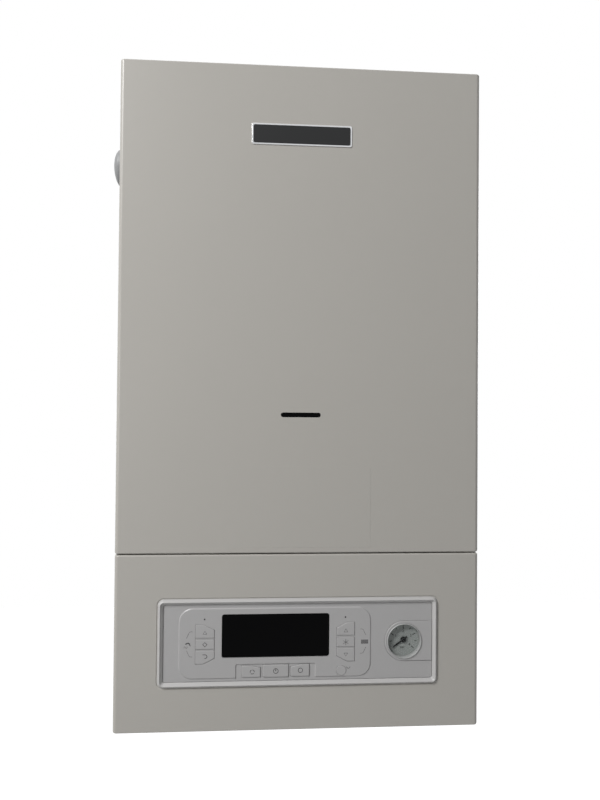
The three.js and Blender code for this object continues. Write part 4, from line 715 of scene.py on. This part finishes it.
# A bevel just short of the radius, so that the two rounds don't meet in one point.
NEARLY_WHOLE = 0.998
CASE_RADIUS = 19.3


def holder_block(name, grow, back, front):
    """The D-shaped insert: a half round that runs straight on to the right."""
    radius = HOLDER_RADIUS + grow
    right = BEZEL_RIGHT - BEZEL_RIM - GAP + 0.01 + grow * 4
    piece = block(name, (GAUGE_X - radius, front, GAUGE_Z - radius), (right, back, GAUGE_Z + radius))
    return bevel_edges(piece, lambda middle, way: along_y(middle, way) and middle.x < GAUGE_X * MM,
                       radius * NEARLY_WHOLE, 32)


def gauge_holder():
    insert = holder_block("gauge_insert", 0, FIELD_BACK, INSERT_FACE)
    bevel_edges(insert, on_plane("y", INSERT_FACE), 0.75, 4)
    hole = disc("hole", GAUGE_X, GAUGE_Z, FIELD_BACK + 1, FIELD_FACE - 2, CASE_RADIUS + GAP, 96)
    cut(outward(insert), hole)
    dress(soften(outward(insert), 30), "control_panel", PALE, "pale_plastic", "gauge_holder")


RING_FACE = -321.5
RING_LEDGE = -320.6
RING_BACK = -319.9
CASE_BACK = -288.5
GLASS_FACE = -320.2
GLASS_BACK = -319.2
GLASS_RADIUS = 17.8
DIAL_FACE = -315.1
DIAL_BACK = -314.4
DIAL_RADIUS = 17.9
NEEDLE_LENGTH = 14
NEEDLE_TAIL = 5
NEEDLE_HALF_WIDTH = 1.2
NEEDLE_REST = -125
DIAL_START = -130
DIAL_SWEEP = 260
DIAL_BARS = 4
DIAL_PRINT_FACE = -315.16
HUB_FACE = -317.3
HUB_BACK = -315.4
HUB_RADIUS = 3.1


def gauge():
    """The ring with its case, the dial and its print, the needle and the crowned glass."""
    case = disc("gauge_ring_case", GAUGE_X, GAUGE_Z, RING_BACK, RING_FACE, CASE_RADIUS, 96)
    bevel_edges(case, on_plane("y", RING_FACE), 0.6, 4)
    pick(case, "FACE", facing("y"))
    bpy.ops.mesh.inset(thickness=0.2 * MM)
    bpy.ops.mesh.extrude_region_move(TRANSFORM_OT_translate={"value": (0, (CASE_BACK - RING_BACK) * MM, 0)})
    done()
    bevel_edges(case, on_plane("y", CASE_BACK), 2, 4)
    pick(case, "FACE", facing("y", -1))
    bpy.ops.mesh.inset(thickness=0.2 * MM)
    bpy.ops.mesh.inset(thickness=0.2 * MM, depth=(RING_FACE - RING_LEDGE) * MM)
    bpy.ops.mesh.inset(thickness=0.1 * MM, depth=-0.4 * MM)
    bpy.ops.mesh.inset(thickness=0.1 * MM, depth=-6.2 * MM)
    done()
    dress(soften(outward(case), 30), "control_panel", RING, "gauge_ring", "gauge_case")

    glass = disc("gauge_window", GAUGE_X, GAUGE_Z, GLASS_BACK, GLASS_FACE, GLASS_RADIUS, 96)
    bevel_edges(glass, on_plane("y", GLASS_FACE), 0.4, 3)
    dress(soften(glass, 30), "control_panel", CLEAR, "clear_glass", "gauge_glass")

    dial = disc("dial_plate", GAUGE_X, GAUGE_Z, DIAL_BACK, DIAL_FACE, DIAL_RADIUS, 96)
    bevel_edges(dial, on_plane("y", DIAL_FACE), 0.2, 2)
    dress(soften(dial, 30), "control_panel", DIAL, "dial", "gauge_dial")
    dial_print()

    needle = block("needle_blade", (-NEEDLE_HALF_WIDTH, -316.3, -NEEDLE_TAIL),
                   (NEEDLE_HALF_WIDTH, -315.9, NEEDLE_LENGTH))
    pick(needle, "FACE", facing("z"))
    bpy.ops.transform.resize(value=(0.45, 1, 1))
    done()
    needle.data.transform(Matrix.Translation(at(0, 0, 0)).inverted())
    needle.rotation_euler = (0, math.radians(NEEDLE_REST), 0)
    needle.location = at(GAUGE_X, 0, GAUGE_Z)
    settle(needle)
    hub = disc("hub", GAUGE_X, GAUGE_Z, HUB_BACK, HUB_FACE, HUB_RADIUS, 40)
    bevel_edges(hub, on_plane("y", HUB_FACE), 0.5, 3)
    weld(needle, hub)
    needle.name = "needle_with_hub"
    dress(soften(needle, 30), "gauge_needle", INK, "black_plastic", "gauge_needle")


def lettering(name, words, x, z, size, face, tilt=0):
    """Plain type as a thin flat mesh that looks to the front."""
    deselect_all()
    bpy.ops.object.text_add(location=(0, 0, 0))
    text = bpy.context.object
    text.data.body = words
    text.data.size = size * MM
    text.data.align_x = "CENTER"
    text.data.align_y = "CENTER"
    text.data.extrude = 0.02 * MM
    text.data.resolution_u = 3
    only(text)
    bpy.ops.object.convert(target="MESH")
    text = bpy.context.object
    text.name = name
    text.rotation_euler = (math.pi / 2, math.radians(tilt), 0)
    text.location = at(x, face, z)
    return outward(settle(text))


def stroke(name, points, width, face, thickness=0.05, closed=False):
    """A printed line of even width through points, as a thin raised strip."""
    curve = bpy.data.curves.new(name, "CURVE")
    curve.dimensions = "3D"
    curve.bevel_depth = width / 2 * MM
    curve.bevel_resolution = 1
    curve.use_fill_caps = True
    spline = curve.splines.new("POLY")
    spline.points.add(len(points) - 1)
    for point, (x, z) in zip(spline.points, points):
        point.co = (*at(x, 0, z), 1)
    spline.use_cyclic_u = closed
    line = bpy.data.objects.new(name, curve)
    bpy.context.scene.collection.objects.link(line)
    only(line)
    bpy.ops.object.convert(target="MESH")
    line = bpy.context.object
    line.scale = (1, thickness / width, 1)
    line.location = (0, face * MM, 0)
    return outward(settle(line))


def arc_points(x, z, radius, start, end, steps=16):
    """Points on an arc, with angles in degrees clockwise from the top."""
    turns = [math.radians(start + (end - start) * i / steps) for i in range(steps + 1)]
    return [(x + radius * math.sin(turn), z + radius * math.cos(turn)) for turn in turns]


def dial_print():
    marks = []
    for step in range(DIAL_BARS * 2 + 1):
        whole = step % 2 == 0
        angle = math.radians(DIAL_START + DIAL_SWEEP * step / (DIAL_BARS * 2))
        inner = 11.6 if whole else 12.8
        ends = [(GAUGE_X + r * math.sin(angle), GAUGE_Z + r * math.cos(angle)) for r in (inner, 15.2)]
        marks.append(stroke("tick", ends, 0.9 if whole else 0.7, DIAL_PRINT_FACE))
        if whole:
            x, z = (GAUGE_X + 9.2 * math.sin(angle), GAUGE_Z + 9.2 * math.cos(angle))
            marks.append(lettering("figure", str(step // 2), x, z, 4.4, DIAL_PRINT_FACE))
    marks.append(lettering("unit", "bar", GAUGE_X - 1.2, GAUGE_Z - 8.6, 4, DIAL_PRINT_FACE))
    dress(join("dial_print", marks), "control_panel", INK, "black_plastic")


# ---- Print and small trim on the front ----
KEY_PRINT_FACE = -320.72
FIELD_PRINT_FACE = -320.42


def ring_points(x, z, radius, corners, turn=0):
    return [(x + radius * math.sin(math.radians(turn + 360 * i / corners)),
             z + radius * math.cos(math.radians(turn + 360 * i / corners))) for i in range(corners)]


def key_print():
    """Plain arrows, a diamond, a flake, a circuit, a clock and a ring on the keys."""
    for name, body, shapes in (
        ("up_left", "key_left_up", [(ring_points(-102, 106.4, 2.3, 3), True)]),
        ("diamond", "key_left_middle", [(ring_points(-102, 94.1, 2.3, 4), True)]),
        ("down_left", "key_left_down", [([(-104.4, 83.2), (-101.3, 83.2)], False),
                                        (arc_points(-101.6, 81.2, 2, 0, 200, 10), False)]),
        ("up_right", "key_right_up", [(ring_points(51.6, 106.6, 2.3, 3), True)]),
        ("flake", "key_right_middle", [([(51.5 + 3.3 * math.cos(turn), 94.5 + 3.3 * math.sin(turn)),
                                         (51.5 - 3.3 * math.cos(turn), 94.5 - 3.3 * math.sin(turn))], False)
                                       for turn in (math.radians(30), math.radians(90), math.radians(150))]),
        ("down_right", "key_right_down", [(ring_points(51.6, 81.4, 2.3, 3, 180), True)]),
        ("circuit", "key_bottom_left", [(arc_points(-50.6, 63.9, 2.2, start, start + 90, 5), False)
                                        for start in (10, 130, 250)]),
        ("clock", "key_bottom_middle", [(ring_points(-25, 64.4, 2.6, 20), True),
                                        ([(-25, 66.4), (-25, 64.2)], False)]),
        ("ring", "key_bottom_right", [(ring_points(1.8, 64.7, 2.4, 20), True)]),
    ):
        width = 0.5 if name == "flake" else 0.8
        lines = [stroke("line", points, width, KEY_PRINT_FACE, closed=closed) for points, closed in shapes]
        dress(join("print_" + name, lines), body, PRINT, "grey_plastic")


def field_print():
    """A shower head and a radiator, each between the two lines that lead to its keys."""
    lines = []
    for x, side, top, bottom in ((-115.5, -1, 108, 81), (67.5, 1, 108.5, 82)):
        middle = (top + bottom) / 2
        for end, way in ((top, 1), (bottom, -1)):
            lines.append(stroke("lead", [
                (x, end), (x + side * 2.2, end), (x + side * 3.4, end - way * 0.9),
                (x + side * 6.2, middle + way * 6.6)], 0.4, FIELD_PRINT_FACE))
    lines.append(stroke("head", arc_points(-120.4, 93.2, 2.6, -60, 60, 8), 1.5, FIELD_PRINT_FACE))
    lines.append(stroke("neck", [(-119.4, 95.4), (-117.4, 92.6)], 0.8, FIELD_PRINT_FACE))
    for step in range(3):
        drop_x = -123.4 + step * 1.4
        lines.append(stroke("drop", [(drop_x, 92.6 - step * 0.3), (drop_x - 1.3, 90.4 - step * 0.3)],
                            0.35, FIELD_PRINT_FACE))
    for step in range(7):
        rib_x = 68.9 + step * 1.15
        lines.append(stroke("rib", [(rib_x, 92.4), (rib_x, 96.9)], 0.85, FIELD_PRINT_FACE))
    lines.append(stroke("moon", arc_points(54.5, 67.6, 1.9, 90, 270, 10), 0.5, FIELD_PRINT_FACE))
    dress(join("field_print", lines), "control_panel", PRINT, "grey_plastic")


def signal_lights():
    for name, x, z in (("signal_left", -102.5, 121.2), ("signal_right", 51.1, 121.8)):
        lens = disc(name, x, z, -319.8, -320.5, 0.95, 24)
        bevel_edges(lens, on_plane("y", -320.5), 0.3, 3)
        dress(soften(lens), "control_panel", INK, "black_plastic")


def badge():
    """A bare dark plate in a bright frame, where such boilers carry a name."""
    plate = rounded_block("badge_plate", (-56.4, FRONT - 0.9, 641), (54.5, FRONT, 664.5), 2, 0.4, 5, 2)
    pick(plate, "FACE", facing("y", -1))
    bpy.ops.mesh.inset(thickness=1.1 * MM)
    bpy.ops.mesh.inset(thickness=0.25 * MM, depth=-0.3 * MM)
    done()
    dress(soften(plate), "door", SILVER, "steel")
    face = rounded_block("badge_face", (-54.6, FRONT - 0.85, 642.8), (52.7, FRONT - 0.5, 662.7),
                         1.5, 0.15, 4, 2)
    dress(soften(face), "door", BLACK, "black_plastic")


def label():
    """A thin film, bare of words, where such boilers carry their notes."""
    film = rounded_block("label_film", (-83, FRONT - 0.12, 198), (78, FRONT - 0.02, 287), 1.5, 0.05, 4, 1)
    dress(soften(film), "door", FILM, "white_paint")


# ---- Pieces away from the front ----
def steps(piece, axis, side, moves):
    """Insets the end face of a piece again and again, by pairs of an inset and a rise."""
    pick(piece, "FACE", facing(axis, side))
    for inward, rise in moves:
        bpy.ops.mesh.inset(thickness=inward * MM, depth=rise * MM)
    done()
    return piece


def rod_x(name, left, right, y, z, radius, sides=64):
    """A cylinder with its axis along X."""
    deselect_all()
    bpy.ops.mesh.primitive_cylinder_add(
        vertices=sides, radius=radius * MM, depth=(right - left) * MM,
        location=at((left + right) / 2, y, z), rotation=(0, math.pi / 2, 0))
    bpy.context.object.name = name
    return settle(bpy.context.object)


CAP_Y, CAP_Z, CAP_RADIUS = -276, 625, 21
CAP_RISE = 8
CAP_PLATE = 6
STUB_RADIUS = 11.5
STUB_LENGTH = 6


def side_cap():
    """The domed cap on the left side, with the stub that holds it in its hole."""
    cap = rod_x("side_cap_dome", -HALF_WIDTH - CAP_PLATE, -HALF_WIDTH - GAP, CAP_Y, CAP_Z, CAP_RADIUS)
    turns = [math.radians(15 * step) for step in range(6)] + [math.radians(86)]
    steps(cap, "x", -1, [
        (CAP_RADIUS * (math.cos(first) - math.cos(second)), CAP_RISE * (math.sin(second) - math.sin(first)))
        for first, second in zip(turns, turns[1:])])
    weld(cap, rod_x("stub", -HALF_WIDTH - 1, -HALF_WIDTH + STUB_LENGTH, CAP_Y, CAP_Z, STUB_RADIUS, 40))
    dress(soften(outward(cap), 40), "casing", GREY, "grey_plastic", "side_cap")


FLUE_Y = -156
COLLAR_RADIUS = 63
COLLAR_THICKNESS = 4
COLLAR_DEPTH = 12
COLLAR_RISE = 30
TUBE_RADIUS = 51.5
BORE_RADIUS = 48.5


def flue_collar():
    top = HEIGHT + GAP + COLLAR_THICKNESS
    collar = post("flue_collar_ring", 0, FLUE_Y, HEIGHT + GAP, top, COLLAR_RADIUS, 96)
    bevel_edges(collar, on_plane("z", top), 1, 4)
    tube = post("tube", 0, FLUE_Y, HEIGHT + GAP - COLLAR_DEPTH, HEIGHT + COLLAR_RISE, TUBE_RADIUS, 96)
    weld(collar, bevel_edges(tube, on_plane("z", HEIGHT + COLLAR_RISE), 0.8, 3))
    cut(collar, post("bore", 0, FLUE_Y, HEIGHT - 20, HEIGHT + 40, BORE_RADIUS, 96))
    dress(soften(collar), "casing", BLACK, "black_plastic", "flue_collar")


BOX_HALF, BOX_LOW, BOX_HIGH = 178, 18, 156
BOX_FACE, BOX_BACK = -318.5, -215
BOX_WALL = 2.5


def control_box():
    """The tray behind the fascia, with ribs on its back and vents in its top."""
    tray = block("control_box_tray", (-BOX_HALF, BOX_FACE, BOX_LOW), (BOX_HALF, BOX_BACK, BOX_HIGH))
    bevel_edges(tray, along_y, 5, 5)
    bevel_edges(tray, on_plane("y", BOX_BACK), 2.5, 4)
    pick(tray, "FACE", facing("y", -1))
    bpy.ops.mesh.delete(type="FACE")
    done()
    apply_modifier(tray, "SOLIDIFY", thickness=BOX_WALL * MM, offset=-1, use_even_offset=True)
    for x in range(-150, 151, 50):
        rib = block("rib", (x - 1, BOX_BACK - 1, BOX_LOW + 12), (x + 1, BOX_BACK + 3, BOX_HIGH - 12))
        weld(tray, bevel_edges(rib, on_plane("y", BOX_BACK + 3), 0.6, 2))
    middle = (BOX_FACE + BOX_BACK) / 2
    for x in range(-120, 121, 30):
        vent = block("vent", (x - 2, middle - 25, BOX_HIGH - 4), (x + 2, middle + 25, BOX_HIGH + 2))
        cut(tray, bevel_edges(vent, lambda centre, way: abs(way.z) > 0.9, 1.95, 5))
    dress(soften(tray), "control_panel", GREY, "grey_plastic", "control_box")


def screw_head(radius=3.4):
    """A pan head with a cross recess, at the origin and looking up."""
    deselect_all()
    bpy.ops.mesh.primitive_cylinder_add(
        vertices=24, radius=radius * MM, depth=2 * MM, location=(0, 0, 0.6 * MM))
    head = settle(bpy.context.object)
    bevel_edges(head, lambda middle, way: middle.z > 1.5 * MM and abs(way.z) < 0.1, 0.7, 3)
    for turn in (0, math.pi / 2):
        deselect_all()
        bpy.ops.mesh.primitive_cube_add(size=1, location=(0, 0, 1.6 * MM), rotation=(0, 0, turn))
        blade = bpy.context.object
        blade.scale = Vector((radius * 1.2, 0.75, 1.4)) * MM
        cut(head, settle(blade))
    return head


def screws(name, body, places, way):
    """Screw heads at places of the casing, all looking the same way."""
    heads = []
    for place in places:
        head = screw_head()
        head.rotation_euler = Vector(way).to_track_quat("Z", "Y").to_euler()
        head.location = at(*place)
        heads.append(settle(head))
    dress(soften(join(name, heads)), body, STEEL, "steel")


CHAMBER_FACE = -241.5
VALVE_FACE = -110
COLLAR_SCREW_RADIUS = 57.3


def fastenings():
    diagonal = COLLAR_SCREW_RADIUS * math.sqrt(0.5)
    collar_top = HEIGHT + GAP + COLLAR_THICKNESS
    screws("collar_screws", "casing",
           [(side * diagonal, FLUE_Y + end * diagonal, collar_top) for side in (-1, 1) for end in (-1, 1)],
           (0, 0, 1))
    screws("box_screws", "control_panel",
           [(x, BOX_BACK, z) for x in (-168, 168) for z in (32, 142)], (0, 1, 0))
    screws("chamber_screws", "casing",
           [(x, CHAMBER_FACE, z) for x in (-111, 111) for z in (352, 430, 508)], (0, -1, 0))
    screws("valve_screws", "casing", [(x, VALVE_FACE, z) for x in (-22, 22) for z in (86, 108)], (0, -1, 0))
    screws("top_screws", "casing",
           [(x, y, HEIGHT) for x in (-188, 188) for y in (-270, -150, -20)], (0, 0, 1))


# ---- Assembly ----
door()
fascia()
bezel()
keypad()
for each_key in KEYS:
    key_cap(each_key)
round_button()
display()
gauge_holder()
gauge()
key_print()
field_print()
signal_lights()
badge()
label()
side_cap()
flue_collar()
control_box()
fastenings()


# ---- Camera, light and room ----
FOCAL_SHARE = 620 / 800
CAMERA_AT = (-45.05, -1000.2, 349.6)
YAW, PITCH, ROLL = 0.06465, 0.01487, 0.00833


def place_camera():
    data = bpy.data.cameras.new("camera")
    data.sensor_width = 36
    data.lens = 36 * FOCAL_SHARE
    camera = bpy.data.objects.new("camera", data)
    ahead = Vector((math.sin(YAW) * math.cos(PITCH), math.cos(YAW) * math.cos(PITCH), math.sin(PITCH)))
    right = Vector((math.cos(YAW), -math.sin(YAW), 0))
    up = right.cross(ahead)
    turned_right = right * math.cos(ROLL) + up * math.sin(ROLL)
    turned_up = up * math.cos(ROLL) - right * math.sin(ROLL)
    camera.matrix_world = Matrix.Translation(at(*CAMERA_AT)) @ Matrix(
        (turned_right, turned_up, -ahead)).transposed().to_4x4()
    bpy.context.scene.collection.objects.link(camera)
    bpy.context.scene.camera = camera


def soft_lamp(name, place, target, size, power):
    data = bpy.data.lights.new(name, "AREA")
    data.size = size
    data.energy = power
    lamp = bpy.data.objects.new(name, data)
    lamp.location = place
    lamp.rotation_euler = (Vector(target) - Vector(place)).to_track_quat("-Z", "Y").to_euler()
    bpy.context.scene.collection.objects.link(lamp)


def seen_directly(tree):
    """1 for what the camera, a reflection or a view through glass sees, and 0 for light."""
    path = tree.nodes.new("ShaderNodeLightPath")
    seen = math_node(tree, "MAXIMUM", path.outputs["Is Camera Ray"], path.outputs["Is Glossy Ray"])
    return math_node(tree, "MAXIMUM", seen, path.outputs["Is Transmission Ray"])


def light_room():
    world = bpy.data.worlds.new("room")
    bpy.context.scene.world = world
    world.use_nodes = True
    tree = world.node_tree
    tree.nodes.clear()
    strength = spread(tree, seen_directly(tree), 0.16, 1)
    sky = tree.nodes.new("ShaderNodeBackground")
    tree.links.new(strength, sky.inputs["Strength"])
    out = tree.nodes.new("ShaderNodeOutputWorld")
    tree.links.new(sky.outputs[0], out.inputs["Surface"])
    sky.inputs["Color"].default_value = (1, 1, 1, 1)
    soft_lamp("window_above", (-1.5, -1.7, 1.35), (0, -0.3, -0.3), 0.7, 58)
    soft_lamp("window_left", (-0.65, -0.85, -0.3), (0, -0.3, -0.3), 0.3, 0.9)
    soft_lamp("fill_behind", (1.8, 1.7, 0.2), (0, 0, -0.3), 1.2, 14)


def lay_floor():
    deselect_all()
    bpy.ops.mesh.primitive_plane_add(size=8, location=(0, 0, -1.9))
    floor = bpy.context.object
    floor.name = "floor"
    material = bpy.data.materials.new("pale_floor")
    material.use_nodes = True
    tree = material.node_tree
    shader = tree.nodes["Principled BSDF"]
    shader.inputs["Base Color"].default_value = (0.9, 0.9, 0.9, 1)
    shader.inputs["Roughness"].default_value = 0.9
    shader.inputs["Emission Color"].default_value = (1, 1, 1, 1)
    tree.links.new(spread(tree, seen_directly(tree), 0, 0.8), shader.inputs["Emission Strength"])
    floor.data.materials.append(material)


place_camera()
light_room()
lay_floor()
bpy.context.scene.view_settings.view_transform = "Standard"
